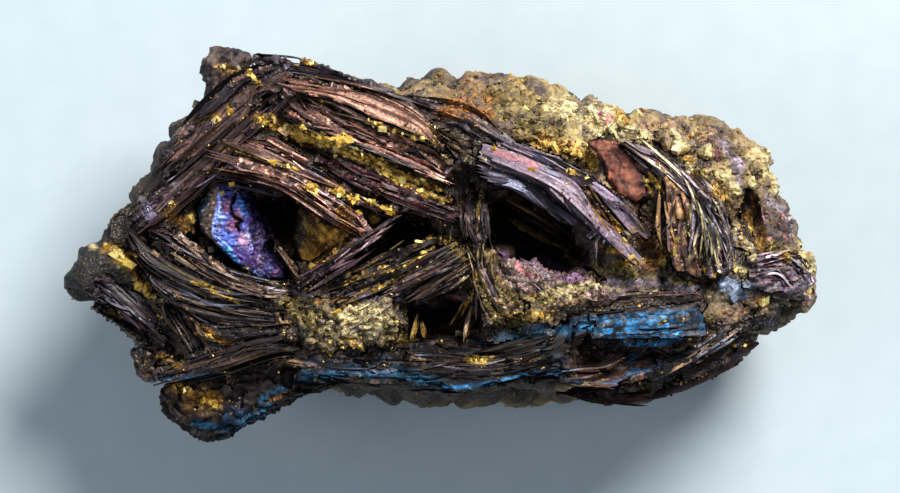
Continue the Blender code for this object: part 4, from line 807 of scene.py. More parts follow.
book("bronze_middle", [
    (-15.2, 15.1, -16.5, 13.3, 26), (-11.5, 13.5, -12.7, 11.5, 27), (-8.0, 11.9, -9.3, 10.2, 27.5),
    (-3.5, 10.5, -4.7, 8.2, 27), (0.7, 8.7, -0.5, 6.4, 26.5),
], dimmed(BRONZE, 1.15), bronze_finish, leaves=4, broad=0.4, splinters=14,
   lean=-0.6)

# ---------------------------------------------------------------------------------------
# Lilac ribbons.  Smooth, nearly mirror-like cleavage sheets that roof the right-hand
# cavity, each snapped off square or forked at its lower end.
LILAC = tones((132, 116, 130), (154, 138, 150), (108, 94, 108), (78, 68, 80), (96, 92, 110), (54, 46, 54),
              (136, 106, 120))
PLATE, BRIGHT = rgb(106, 90, 106), rgb(134, 116, 134)
ROSY, STEEL = rgb(140, 84, 94), rgb(84, 84, 108)
lilac_finish = striated("lilac covellite", 0.4, (0.26, 0.48), rgb(168, 116, 132), bump=0.3,
                        streak=(0.65, 1.25), patch=0.3)
plate_finish = striated("lilac plate", 0.2, (0.4, 0.58), rgb(128, 98, 116), bump=0.2,
                        streak=(0.8, 1.15), patch=0.35)
book("lilac_main", [
    (4.1, 10.3, 3.7, 8.0, 27), (8.5, 8.5, 8.8, 6.4, 27.5), (12.7, 6.3, 11.5, 4.7, 27.5),
    (15.5, 2.9, 14.6, 1.6, 27), (19.5, -1.1, 18.1, -1.7, 25.5),
], tones((104, 90, 104), (78, 66, 78), (54, 44, 54), (120, 104, 118), (34, 26, 32)), plate_finish,
   leaves=3, splinters=9, under=3, shrink=0.5, relief=0.7, pitch=1.1, plates=[
    (-0.02, 0.14, 0.1, 0.8, 0.0, 0.05, PLATE, 0.4), (0.04, 0.17, 0.15, 0.5, 0.25, 0.1, ROSY, 0.3),
    (0.10, 0.30, 0.45, 0.95, 0.2, -0.1, PLATE, 0.4), (0.18, 0.33, 0.05, 0.4, 0.15, 0.15, ROSY, 0.4),
    (0.20, 0.27, 0.4, 0.7, 0.3, 0.1, rgb(176, 110, 122), 0.3),
    (0.28, 0.55, 0.35, 0.95, 0.3, 0.06, BRIGHT, 0.5), (0.30, 0.42, 0.1, 0.3, 0.2, 0.1, STEEL, 0.3),
    (0.38, 0.52, 0.8, 1.1, 0.42, 0.2, PLATE, 0.3), (0.50, 0.68, 0.25, 0.75, 0.1, -0.05, PLATE, 0.4),
    (0.60, 0.76, 0.6, 1.0, -0.1, 0.1, LILAC[2], 0.4), (0.66, 0.88, 0.15, 0.6, 0.15, 0.1, BRIGHT, 0.4),
    (0.84, 1.03, 0.0, 0.5, 0.0, 0.12, PLATE, 0.4), (0.88, 1.04, 0.55, 1.0, -0.2, 0.0, LILAC[3], 0.4)])
book("lilac_upper", [
    (6.3, 10.6, 5.5, 9.8, 26.5), (11.3, 8.5, 10.7, 7.6, 26.5), (15.9, 5.7, 15.3, 4.6, 26),
    (20.3, 1.5, 19.1, 0.5, 25),
], tones((104, 90, 100), (70, 58, 66), (48, 38, 44), (118, 104, 116)), plate_finish,
   splinters=9, under=4, lean=0.5, shrink=0.4, relief=0.7, pitch=1.0, plates=[
    (0.0, 0.2, 0.2, 0.9, 0.1, 0.2, PLATE, 0.5), (0.17, 0.36, 0.3, 1.0, 0.1, -0.1, STEEL, 0.4),
    (0.34, 0.56, 0.5, 1.1, 0.2, -0.2, LILAC[2], 0.5),
    (0.40, 0.52, 0.0, 0.45, 0.1, 0.1, rgb(160, 140, 92), 0.5),
    (0.58, 0.80, 0.0, 0.7, 0.3, 0.2, rgb(160, 142, 164), 0.5),
    (0.66, 0.96, 0.5, 1.0, 0.1, 0.2, BRIGHT, 0.5), (0.82, 1.03, 0.1, 0.6, 0.0, 0.1, PLATE, 0.5)])
book("cavity_lip", [
    (4.7, 7.9, 4.1, 6.3, 27), (7.7, 6.9, 6.7, 5.7, 27), (10.3, 4.5, 9.3, 3.9, 26.5),
    (12.9, 2.6, 12.1, 2.0, 26),
], tones((72, 70, 90), (52, 46, 60), (40, 34, 44), (28, 24, 32)), plate_finish,
   splinters=8, under=3, shrink=0.3, relief=0.6, pitch=0.9, plates=[
    (0.0, 0.26, 0.1, 0.9, 0.1, 0.1, STEEL, 0.4), (0.22, 0.5, 0.3, 1.0, 0.2, 0.1, rgb(104, 106, 132), 0.4),
    (0.46, 0.74, 0.1, 0.8, 0.1, 0.1, STEEL, 0.4), (0.7, 1.04, 0.0, 0.7, 0.1, 0.1, rgb(116, 110, 132), 0.4)])

# ---------------------------------------------------------------------------------------
# Ribbons over the pocket and the darker ones right of them.  Long striated laths, bronze
# where the light catches their faces and maroon to black in the gaps.
MAROON = tones((82, 34, 38), (60, 30, 34), (44, 28, 34), (92, 62, 62), (36, 26, 30))
book("ribbon_upper", [
    (-20.7, 10.7, -22.1, 10.0, 26), (-17.7, 9.9, -18.9, 8.9, 27), (-14.3, 8.2, -15.3, 7.4, 27),
    (-9.7, 6.1, -10.5, 5.1, 26),
], BRONZE, bronze_finish, broad=0.5, splinters=10)
book("ribbon_lower", [
    (-22.8, 9.3, -23.7, 7.7, 26.5), (-19.1, 8.3, -19.9, 7.0, 27.5), (-15.3, 7.0, -16.1, 5.9, 27.5),
    (-11.3, 4.9, -12.5, 3.7, 27), (-8.7, 3.1, -10.0, 2.1, 26.5), (-7.4, 1.4, -8.2, 0.9, 26),
], BRONZE + tones((140, 116, 130)), bronze_finish, leaves=4, broad=0.35)
book("ribbon_fore", [
    (-23.8, 7.6, -24.0, 6.8, 25.5), (-20.0, 6.8, -20.2, 6.2, 26), (-16.1, 5.7, -16.3, 5.2, 26),
], DARK, dark_finish, splinters=5, lean=0)
book("dark_upper", [
    (-11.0, 8.8, -12.5, 7.9, 26), (-7.3, 7.2, -8.9, 5.9, 26), (-3.3, 5.3, -4.3, 4.0, 25.5),
    (1.1, 3.5, 0.3, 2.3, 25),
], MAROON, dark_finish, leaves=3, lean=-0.4)
book("dark_lower", [
    (-14.9, 7.7, -15.3, 7.2, 25.5), (-10.0, 5.9, -10.3, 4.7, 25), (-5.3, 4.1, -6.1, 2.9, 24.5),
], MAROON, dark_finish, splinters=8, lean=-0.4)

# ---------------------------------------------------------------------------------------
# Bars across the pocket's mouth.  Two thin blades that grew across the others, one with a
# lilac-pink sheen along its upper edge.
book("pocket_bar", [
    (-14.8, -3.4, -14.2, -4.3, 25.5), (-11.5, -1.3, -10.9, -2.2, 26.5), (-8.5, 0.6, -7.9, -0.3, 26.5),
    (-3.7, 3.9, -3.2, 3.2, 25.5),
], tones((128, 100, 104), (88, 66, 70), (56, 42, 46), (146, 118, 128), (40, 30, 34)), bronze_finish,
   broad=0.15, splinters=9, under=1, lean=-0.8)
book("pocket_splint", [
    (-16.9, -0.4, -16.4, -0.1, 23), (-14.3, -3.5, -13.7, -3.0, 24.5),
], tones((64, 46, 40), (100, 74, 46)), dark_finish, leaves=1, splinters=1, under=0, lean=0, shrink=0.3,
   relief=0.4)

# ---------------------------------------------------------------------------------------
# Curved bundle from the left tip.  Bent blades that converge on the hub under the pocket,
# slate and tan, with the grey plates and the sill below them.
SLATE = tones((40, 34, 44), (60, 52, 60), (24, 19, 26), (78, 62, 58), (18, 14, 20), (48, 36, 38))
TAN = tones((94, 72, 58), (60, 44, 40), (30, 22, 26), (122, 96, 76), (22, 16, 20), (48, 33, 36))
book("bundle_upper", [
    (-30.3, 2.2, -30.9, 1.4, 23.5), (-26.9, 1.1, -27.7, 0.1, 24), (-23.9, -0.9, -24.9, -1.9, 24.5),
    (-20.7, -3.3, -21.9, -3.9, 25), (-17.3, -4.7, -18.3, -5.1, 25.5),
], TAN, bronze_finish, leaves=3, splinters=8, under=0, lean=-0.3,
   slant=(0.2, 0.5))
book("bundle_middle", [
    (-31.1, 1.3, -31.5, 0.5, 23), (-28.5, -1.1, -29.5, -1.9, 23.5), (-24.9, -2.7, -25.9, -3.9, 24),
    (-20.9, -4.1, -21.3, -5.3, 24.5), (-16.1, -5.3, -16.5, -6.1, 25),
], SLATE + TAN, dark_finish, leaves=5, broad=0.6, splinters=8, lean=-0.3, slant=(0.2, 0.5))
book("bundle_lower", [
    (-29.5, -2.1, -30.1, -2.7, 22.5), (-26.1, -4.1, -27.3, -5.1, 23.5), (-21.5, -5.5, -22.3, -6.7, 24),
    (-16.3, -6.3, -16.9, -7.3, 24),
], SLATE, dark_finish, leaves=4, broad=0.6, splinters=8, slant=(0.2, 0.5))
book("dark_wedge", [
    (-25.7, -5.9, -26.1, -6.7, 22.5), (-21.3, -6.9, -23.1, -9.1, 23), (-16.1, -7.5, -17.1, -8.9, 23.5),
], SLATE, dark_finish, leaves=3, broad=0.5)
book("ochre_laths", [
    (-27.7, -5.3, -28.7, -5.5, 22), (-25.7, -7.3, -26.9, -7.9, 21.5), (-23.7, -10.1, -24.9, -10.7, 21.5),
], TAN, bronze_finish, broad=0.2, splinters=10)
book("grey_plate", [
    (-34.1, -3.1, -35.1, -5.1, 21.5), (-29.5, -5.7, -30.7, -7.5, 21), (-26.9, -8.5, -27.9, -9.7, 20),
], SLATE, dark_finish, broad=0.5, splinters=7, under=2, lean=-1.0, slant=(0.8, 0.6))
book("rim_plate", [
    (-35.2, -5.3, -35.3, -6.5, 19), (-30.9, -7.7, -32.1, -8.7, 19), (-27.9, -9.9, -29.5, -10.3, 18.5),
], DARK, dark_finish, splinters=4, under=1, lean=-0.8, slant=(1.2, 1.0))
book("sill_bar", [
    (-28.5, -12.6, -28.1, -13.9, 21.5), (-23.1, -10.7, -22.5, -12.5, 22.5),
    (-18.3, -9.3, -17.7, -10.9, 23), (-15.3, -8.9, -14.9, -10.5, 23.5),
], dimmed(TAN + DARK, 0.3), dark_finish, leaves=3, splinters=16, lean=-0.8, slant=(0.2, 1.0))

# ---------------------------------------------------------------------------------------
# Fan of blades that rises to the right from the hub, thin and dark, with bronze tips.
book("fan_upper", [
    (-12.3, -3.7, -11.9, -4.6, 24), (-8.5, -2.1, -7.9, -3.2, 24.5), (-4.7, -0.3, -4.1, -1.3, 24.5),
    (-0.5, 1.3, -0.1, 0.5, 24),
], dimmed(BRONZE[2:] + MAROON, 0.16), dark_finish, leaves=1, splinters=5,
   under=2, shrink=0.4)
book("fan_gold", [
    (-11.1, -5.1, -10.5, -6.1, 24.5), (-7.7, -3.5, -6.9, -4.7, 25), (-4.9, -1.7, -4.1, -3.1, 25),
], dimmed(TAN, 0.2), dark_finish, splinters=6, under=2)
book("fan_middle", [
    (-5.3, -3.9, -4.7, -5.1, 26), (-1.7, -1.7, -0.9, -2.8, 26.5), (1.3, -0.1, 1.9, -1.1, 26),
], dimmed(MAROON + TAN, 0.36), dark_finish, broad=0.4)
book("fan_lower", [
    (-3.3, -4.7, -2.7, -5.7, 25.5), (-0.5, -3.0, 0.2, -3.9, 26), (2.1, -1.4, 2.7, -2.3, 25.5),
], dimmed(SLATE + TAN, 0.34), bronze_finish, broad=0.4)

# ---------------------------------------------------------------------------------------
# Partition.  Upright blades between the central void and the right-hand cavity, dark above
# and olive-tan where crust covers them below.
book("centre_post", [
    (2.2, 5.5, 3.9, 5.9, 23), (2.1, 2.9, 3.7, 2.7, 25.5), (2.5, 0.7, 4.1, 0.5, 25.5),
], DARK, dark_finish, splinters=8, lean=0)
book("centre_ridge", [
    (2.3, 0.1, 4.3, 0.2, 25.5), (2.9, -2.7, 5.3, -2.5, 26), (3.9, -7.3, 7.9, -6.1, 25.5),
], tones((110, 92, 60), (84, 66, 48), (140, 120, 78), (56, 44, 38), (120, 98, 86)), dark_finish,
   leaves=0, lean=0, shrink=0.0, relief=1.1, pitch=0.9)

# ---------------------------------------------------------------------------------------
# Front rim and lower front face.  Flat-lying plates seen over their broken edges, with a
# painted blue reflection on the polished ones.
# Painted blue reflection for the polished plates, with dark dashes between.
REFLECTED_BLUE = tones((36, 112, 166), (24, 68, 106), (34, 40, 52), (16, 30, 48), (60, 142, 196))
FRONT = tones((40, 31, 32), (58, 44, 40), (26, 21, 25), (76, 55, 48), (32, 38, 50), (18, 15, 18))
mirror_finish = striated("painted blue reflection", 0.3, (0.45, 0.62), rgb(40, 120, 178), bump=0.2,
                         streak=(0.06, 1.5), patch=0.3)
# the front plates' sheen clouds are dark blue: painted reflection
front_finish = striated("front covellite", 0.2, (0.4, 0.68), rgb(20, 46, 70), patch=0.4, specular=0.2)
book("rim_left", [
    (-14.5, -10.9, -14.1, -12.9, 23.5), (-9.7, -11.1, -9.5, -13.5, 24), (-4.9, -10.5, -4.7, -13.9, 24),
], dimmed(FRONT, 0.45) + dimmed(REFLECTED_BLUE[1:4], 0.8), front_finish, broad=0.4,
   splinters=8, lean=-2.5, slant=(0.0, 1.6))
book("rim_centre", [
    (-4.5, -9.9, -4.3, -14.1, 25), (0.7, -9.9, 1.1, -14.3, 25), (5.5, -10.5, 5.7, -13.9, 25),
], dimmed(FRONT, 0.25), front_finish, leaves=3, lean=-3.0, slant=(0.0, 1.8))
book("rim_right", [
    (5.9, -9.9, 5.9, -13.7, 25), (11.1, -8.5, 10.7, -13.3, 24.5), (13.9, -7.9, 11.5, -13.5, 24),
], dimmed(FRONT, 0.28), front_finish, leaves=3, lean=-3.5, slant=(0.0, 2.0))
LENS = tones((112, 82, 68), (96, 68, 56), (70, 50, 44), (30, 74, 112), (44, 34, 34))
book("front_lens", [
    (11.7, -10.7, 11.1, -13.7, 21.5), (15.5, -9.7, 15.5, -14.1, 21.5), (19.9, -9.7, 20.5, -13.1, 21.5),
], dimmed(LENS, 0.7), front_finish, broad=0.5, splinters=6, lean=-3.5, slant=(0.0, 2.2), relief=0.7)
book("front_mirror", [
    (14.3, -6.9, 14.5, -9.3, 25.5), (19.5, -6.3, 19.9, -9.5, 25.5), (24.9, -5.5, 25.9, -9.1, 25),
], REFLECTED_BLUE + tones((14, 20, 30)) + REFLECTED_BLUE[:2], mirror_finish, leaves=0,
   splinters=2, under=2, lean=-4.0, shrink=0.25, relief=0.32, pitch=0.6)
book("front_slant_a", [
    (20.3, -10.1, 21.1, -12.7, 22), (25.5, -9.3, 25.9, -11.1, 22.5), (29.7, -6.7, 30.3, -8.1, 22.5),
], FRONT + tones((96, 74, 62), (40, 58, 74)), front_finish, leaves=3, lean=-3, slant=(-0.8, 1.8))
book("front_slant_b", [
    (21.9, -13.5, 22.6, -15.1, 19.5), (26.1, -11.6, 26.2, -13.5, 20), (30.3, -8.8, 29.8, -11.7, 20),
], FRONT, front_finish, leaves=3, splinters=6, under=1, lean=-2, slant=(-0.6, 1.4))
book("front_keel", [
    (11.5, -14.1, 11.7, -15.1, 16), (16.1, -14.3, 16.3, -16.0, 16), (21.1, -13.3, 21.7, -15.4, 16),
], FRONT, front_finish, splinters=4, under=0, lean=-2, slant=(-0.2, 2.4))

# ---------------------------------------------------------------------------------------
# Right end.  A fan of fine fibres, brown on its left and grey-lilac on its right, a sheared
# ribbon over it, and curled plates at the very end.
PALE = tones((150, 134, 132), (176, 160, 146), (112, 96, 108), (84, 70, 80), (190, 172, 140))
book("fibre_fan_left", [
    (21.7, 6.7, 22.7, 7.3, 27), (21.9, 2.5, 24.5, 3.3, 27), (22.7, -2.3, 25.5, -2.9, 26),
], tones((162, 118, 84), (128, 92, 70), (92, 66, 58), (184, 142, 98), (112, 86, 82)), dark_finish,
   leaves=0, splinters=3, under=1, lean=0, shrink=0.1, relief=0.4, pitch=1.9)
book("fibre_fan_right", [
    (23.2, 7.5, 24.3, 7.9, 27), (25.0, 3.4, 27.2, 4.0, 27), (26.1, -3.0, 28.5, -1.7, 25.5),
], tones((206, 190, 194), (224, 208, 176), (160, 142, 160), (76, 60, 68), (226, 208, 158), (128, 106, 88)),
   lilac_finish, leaves=0, splinters=16, under=2, lean=0, shrink=0.1, relief=1.1,
   pitch=0.8)
book("shear_ribbon", [
    (18.9, 10.1, 18.3, 9.5, 26.5), (22.7, 8.1, 21.7, 7.1, 27), (26.1, 4.9, 24.9, 4.1, 26.5),
], PALE, plate_finish, splinters=10, lean=0)
book("swirl_end", [
    (30.7, -1.3, 30.3, -4.1, 25), (34.1, -1.1, 33.9, -4.7, 24), (36.3, -2.1, 36.3, -5.1, 21),
], LILAC + tones((84, 68, 58), (120, 100, 84)), plate_finish, leaves=0,
   splinters=10, lean=0, slant=(-0.8, 0.0), shrink=0.0, relief=0.9, pitch=0.9)


# ---------------------------------------------------------------------------------------
# Rounded masses and crusts, worked from the solids' own surfaces: grain by grain for the
# druse, smoother for the knob, lobe and plates.


def mass(node, voxel, colour_at, material, grain=0.9, cobble=0.25, swell=0.35, fret=0.12, terrace=0.0):
    """A solid's own surface with grains, swellings and, where it has them, worn terraces."""
    bm = node_skin(node, voxel * MM)
    tint = bm.verts.layers.float_color.new("tint")
    for v in bm.verts:
        crown = cells(v.co, grain * MM)
        rise = noise.fractal(v.co / (2.2 * MM), 0.9, 2.1, 4) * swell
        rise += noise.fractal(v.co / (0.6 * MM), 0.9, 2.1, 3) * fret
        step = v.co.z / MM * 0.9 + v.co.y / MM * 0.5 + noise.fractal(v.co / (4 * MM), 0.9, 2.1, 3) * 1.2
        rise += (step % 1 - 0.5) * terrace
        facing = clamp(0.2 + v.normal.z * 1.6)
        colour, lift = veined(v.co, colour_at(v.co), 0.9 * facing)
        shade = 0.7 + 0.4 * crown + fret * noise.noise(v.co / (0.3 * MM)) * 2 + (step % 1 - 0.5) * terrace
        v[tint] = (*scaled(colour, shade), 1)
        v.co += v.normal * (rise + crown * cobble - cobble * 0.3 + max(lift, -0.4) * 0.6) * MM
    bm.normal_update()
    finish_piece(node + "_mass", bm, material, [node], crease=50)


def toned(low, high, patches=(), size=1.4):
    """Mottled between two tones, with patches of other tones at plan x, y within a radius."""
    def colour_at(co):
        wave = noise.fractal(co / (size * MM), 1.0, 2.0, 4)
        return layered(low, (high, 0.5 + wave * 1.5), *[
            (patch, 1.6 * near(co, x, y, radius) * (0.8 + wave)) for x, y, radius, patch in patches])
    return colour_at


crust_finish = grainy("druse crust", 0.1, (0.4, 0.75), rgb(214, 194, 136), 0.6, 0.9, grain=0.35)
dull_finish = grainy("dull sulphide", 0.3, (0.3, 0.6), rgb(160, 128, 70), 0.5, 0.7, grain=0.4)
gold_finish = grainy("pyrite crust", 0.55, (0.28, 0.55), rgb(222, 190, 104), 0.6, 0.8, grain=0.4,
                     contrast=(0.35, 1.4))
smooth_finish = grainy("smooth plate", 0.0, (0.65, 0.9), rgb(150, 96, 74), 0.2, 0.5, grain=0.5,
                       contrast=(0.6, 1.15))
slick_finish = grainy("smooth sulphide", 0.1, (0.45, 0.65), rgb(110, 82, 50), 0.2, 0.5, grain=0.5,
                      contrast=(0.4, 1.3), specular=0.25)
amber_finish = grainy("amber druse", 0.0, (0.55, 0.75), rgb(214, 168, 78), 0.4, 0.4, grain=0.3,
                      contrast=(0.7, 1.25), specular=0.3)
mass("druse", 0.15, toned(rgb(44, 34, 28), rgb(124, 106, 72), [
    (-7.8, -7.2, 2.0, rgb(172, 158, 118)), (-13.5, -7, 2, rgb(88, 74, 42)),
    (-10.5, -9.2, 1.4, rgb(46, 36, 32)), (-15, -8.6, 1.2, rgb(52, 40, 34)),
    (-5.2, -8.8, 1.0, rgb(70, 56, 40))], size=0.7),
     crust_finish, grain=0.85, cobble=0.3, swell=1.3, fret=0.45)
mass("boss", 0.16, toned(rgb(66, 52, 48), rgb(140, 118, 94), [
    (7.4, -3, 2.6, rgb(118, 92, 96))], size=0.9),
     crust_finish, grain=0.55, swell=0.9, fret=0.35)
mass("seam_middle", 0.16, toned(rgb(10, 7, 6), rgb(104, 76, 32), size=0.6),
     gold_finish, grain=0.8, cobble=0.5, swell=0.6, fret=0.25)


def amber_wall_and_pocket_shade(co):
    """Brassy druse on the pocket's wall, amber towards the bar and black at the back.  The black
    is painted shade deep in the pocket; the amber is made brighter as painted light where the
    ribbon shades the wall.
    """
    x, y = co.x / MM, co.y / MM
    streak = noise.fractal(Vector((x * 1.6 + y * 1.2, (y - x) * 0.35, 3)), 1.0, 2.0, 4)
    share = (x + 14.4) / 3.2 - (y - 0.5) * 0.04 + streak * 0.4
    return blend(rgb(12, 7, 4), blend(rgb(158, 100, 24), rgb(232, 176, 70), streak + share * 0.4), share)


mass("pocket_crust", 0.15, amber_wall_and_pocket_shade,
     amber_finish, grain=0.7, cobble=0.05, swell=0.15, fret=0.06)
mass("red_plate", 0.14, toned(rgb(96, 48, 38), rgb(138, 80, 60), [
    (20.4, 6.4, 1.5, rgb(40, 27, 24)), (19, 8.6, 1.0, rgb(92, 48, 38)),
    (16.6, 8.6, 1.0, rgb(104, 56, 42))], size=1.1),
     smooth_finish, grain=1.5, cobble=0.14, fret=0.2)
mass("knob", 0.15, toned(rgb(30, 22, 28), rgb(70, 56, 54), [
    (-21, 16.3, 1.1, rgb(60, 76, 90)), (-23, 18.6, 1.2, rgb(104, 88, 80)),
    (-21.6, 17.4, 0.9, rgb(92, 66, 40))], size=0.9),
     slick_finish, grain=2.4, cobble=0.3, swell=0.6, fret=0.1, terrace=0.12)
mass("lobe", 0.17, toned(rgb(11, 9, 12), rgb(44, 33, 33), [
    # the blue patch low at the front is a painted reflection
    (-24.4, -15.4, 2.2, rgb(92, 66, 34)), (-21, -17.4, 1.6, rgb(20, 40, 62)),
    (-27, -14, 1.6, rgb(76, 55, 30)), (-21.5, -14, 1.6, rgb(34, 26, 26)),
    (-16, -12.4, 1.2, rgb(50, 37, 34))]),
     slick_finish, grain=1.7, cobble=0.12, swell=0.5, fret=0.16, terrace=0.6)
mass("ledge", 0.16, toned(rgb(28, 22, 26), rgb(80, 62, 50)),
     dull_finish, grain=1.7, cobble=0.12, terrace=0.5)

# ---------------------------------------------------------------------------------------
# Pocket crystal.  The large blue-violet tabular crystal that stands in the pocket: a stack
# of growth layers whose broad face dips to the right, bevelled on its left, with a crack.
RIM = [(-22.5, 6.8), (-22.7, 4.1), (-23.2, 2.1), (-23.2, 0.9), (-22.4, -0.2), (-21.3, -1.9), (-20.1, -2.9),
       (-18.3, -3.6)]
CRACK = [(-20.8, 5.0), (-21.3, 3.8), (-21.0, 2.8), (-20.2, 2.35), (-20.75, 2.0), (-20.5, 1.45)]
FOLD = [(-20.9, 5.6), (-19.9, 4.2), (-19.5, 3.0), (-19.5, 1.1), (-19.15, -0.5)]
# Painted highlights on the face: lines of blue, a blue corner and white-blue glints.
BLUE_HIGHLIGHT, CORNER_HIGHLIGHT = [(-20.3, 4.3), (-19.95, 3.2)], [(-21.9, -0.5), (-20.9, -2.0)]      # lines of blue
GLINT = [(-19.8, 1.9), (-19.45, 0.2), (-19.3, -0.5)]
TARNISH = [  # plan x, y, radius, colour of a cloud on the face
    (-21.9, 3.9, 0.9, rgb(164, 104, 140)), (-22.2, 5.6, 0.9, rgb(92, 98, 190)),
    (-21.1, 1.9, 0.8, rgb(140, 76, 104)), (-20.6, 3.0, 0.7, rgb(176, 122, 150)),
    (-20.0, 0.5, 0.8, rgb(166, 126, 160)), (-22.2, 2.6, 0.8, rgb(100, 120, 190)),
    (-21.6, 0.6, 1.1, rgb(70, 92, 172)), (-19.6, 5.4, 0.9, rgb(44, 38, 106)),
    (-16.2, -2.8, 1.0, rgb(116, 70, 98)), (-18.6, -1.4, 0.5, rgb(120, 100, 140)),
    (-17.4, -2.0, 0.6, rgb(36, 60, 112)), (-20.6, -1.2, 1.0, rgb(66, 50, 110)),
]


def along(co, path, reach):
    """1 on a line through plan points, fading to 0 at its reach in millimetres."""
    return max(0.0, 1 - min(off_line(co.x / MM, co.y / MM, a, b) for a, b in zip(path, path[1:])) / reach)


def beside(co, path):
    """Millimetres to the right of a line going down the plan, or less than 0 to its left."""
    x, y = co.x / MM, co.y / MM
    sides = [((b[1] - a[1]) * (x - a[0]) - (b[0] - a[0]) * (y - a[1]), off_line(x, y, a, b))
             for a, b in zip(path, path[1:])]
    side, away = min(sides, key=lambda pair: pair[1])
    return -away if side > 0 else away


crystal = node_skin("pocket_crystal", 0.12 * MM, relax=1)
crystal_tint = crystal.verts.layers.float_color.new("tint")
for v in crystal.verts:
    x, y = v.co.x / MM, v.co.y / MM
    outside = -beside(v.co, RIM)
    flat = Vector((x, y, 2))
    wisp = noise.fractal(flat * 0.9, 1.0, 2.0, 4)
    mottle = noise.fractal(flat * 3.1, 0.8, 2.1, 4)
    lines = noise.noise((x * 2.4 + y * 3.2, (y - x) * 0.5, 1)) + 0.6 * noise.noise((x * 6 + y * 8, y - x, 4))
    beyond = beside(v.co, FOLD)
    colour = layered(rgb(84, 88, 168), (rgb(70, 50, 118), (y - 2.5) * -0.2 + 0.3 + wisp),
                     (rgb(52, 34, 78), (-0.2 - y) * 0.5 + wisp * 0.8),
                     *[(cloud, near(v.co, a, b, radius) * (1.3 + mottle * 2.2))
                       for a, b, radius, cloud in TARNISH])
    dark = beyond * 1.6 + 0.45 if y > -0.8 else (x + 17.8) * 0.8 + wisp
    colour = layered(
        colour, (blend(rgb(34, 22, 62), rgb(74, 52, 106), mottle * 1.6), dark),
        # near black towards the right, where the face dips into the pocket: painted shade
        (rgb(8, 6, 14), (x + 17.7 + y * 0.45) * 0.5 + wisp * 0.3),
        # painted highlights: blue lines, white-blue glints, a bright blue band just inside the rim and a
        # bright blue corner
        (rgb(66, 132, 214), along(v.co, BLUE_HIGHLIGHT, 0.42) * (1.3 + mottle * 2)),
        (rgb(164, 176, 232), along(v.co, GLINT, 0.22) * (0.7 + mottle * 3)),
        (rgb(124, 150, 226), (max(0.0, 1 - abs(outside + 0.3) / 0.7) if y < 5 else 0)
         * (0.6 + mottle * 1.8 + lines * 0.3)),
        (rgb(70, 170, 250), along(v.co, CORNER_HIGHLIGHT, 0.65) * (1.0 + mottle * 2)))
    if outside > 0:
        colour = layered(rgb(126, 106, 96), (rgb(48, 76, 94), (outside - 0.6) * 1.6 + wisp * 0.8),
                         (rgb(196, 176, 178), mottle * 2.4 - 0.9), (rgb(24, 22, 28), (outside - 1.9) * 1.6))
        v.co.z -= (outside * 1.1 - mottle * 0.12) * MM
    elif v.normal.z > 0.3:
        v.co.z += (outside * 0.2 + 0.08 * lines + 0.14 * mottle - 0.5 * min(max(beyond, 0), 0.8)) * MM
    split = along(v.co, CRACK, 0.2 + 0.25 * mottle) if mottle > -0.6 else 0
    if split > 0 and v.normal.z > 0.3:
        v.co.z -= 0.5 * split * MM
        colour = blend(colour, rgb(8, 4, 8), split * 3)
    shade = (1 + 0.35 * lines + 0.7 * mottle) * (1.5 if mottle > 0.55 else 1)
    v[crystal_tint] = (*scaled(colour, max(shade, 0.2)), 1)
crystal.normal_update()
indigo_finish, tree, main, here = shader("indigo tarnish", 0.25, 0.35)
tint = attribute(tree, "tint")
slanted = wire(tree, "ShaderNodeMapping", in_Vector=here, in_Rotation=(0, 0, -0.7),
               in_Scale=(1100, 3200, 1500)).outputs[0]
scuff = noisy(tree, slanted, 1, 6)
shade = ramp(tree, scuff, (0.36, 0.25), (0.5, 0.8), (0.64, 1.6))
coat(tree, main, mix(tree, "MULTIPLY", 1.0, tint, shade), ramp(tree, scuff, (0.3, 0.42), (0.7, 0.62)),
     (0.35, 0.0001, scuff))
finish_piece("pocket_crystal_face", crystal, indigo_finish, ["pocket_crystal"])

# ---------------------------------------------------------------------------------------
# Packing.  Splintery dark sulphide and crumbled crust that fills the narrow seams between
# the blades and ties them to the rock, a little below their tops; its near-black is partly
# painted shade of the seams, and it is painted darker still around the central hollow.
STEP, REACH = 0.2, 4    # grid spacing in millimetres; half the widest seam it fills, in steps
COLUMNS, ROWS = 400, 230
ABOVE = 0.06            # a height over the whole specimen, in metres


def surface_under(x, y):
    """Height of the highest surface under a plan position in metres, or None."""
    best = None
    for x0, x1, y0, y1, tree in GROUND:
        if x0 <= x <= x1 and y0 <= y <= y1:
            hit = tree.ray_cast(Vector((x, y, ABOVE)), Vector((0, 0, -1)))
            if hit[0] is not None and (best is None or hit[0].z > best):
                best = hit[0].z
    return best


def spread_out(field, choose, reach=REACH):
    """The largest, smallest or mean height within reach of every point of a field."""
    for _ in range(2):
        field = list(zip(*[[choose(row[max(i - reach, 0):i + reach + 1]) for i in range(len(row))]
                           for row in field]))
    return field


def mean(values):
    return sum(values) / len(values)


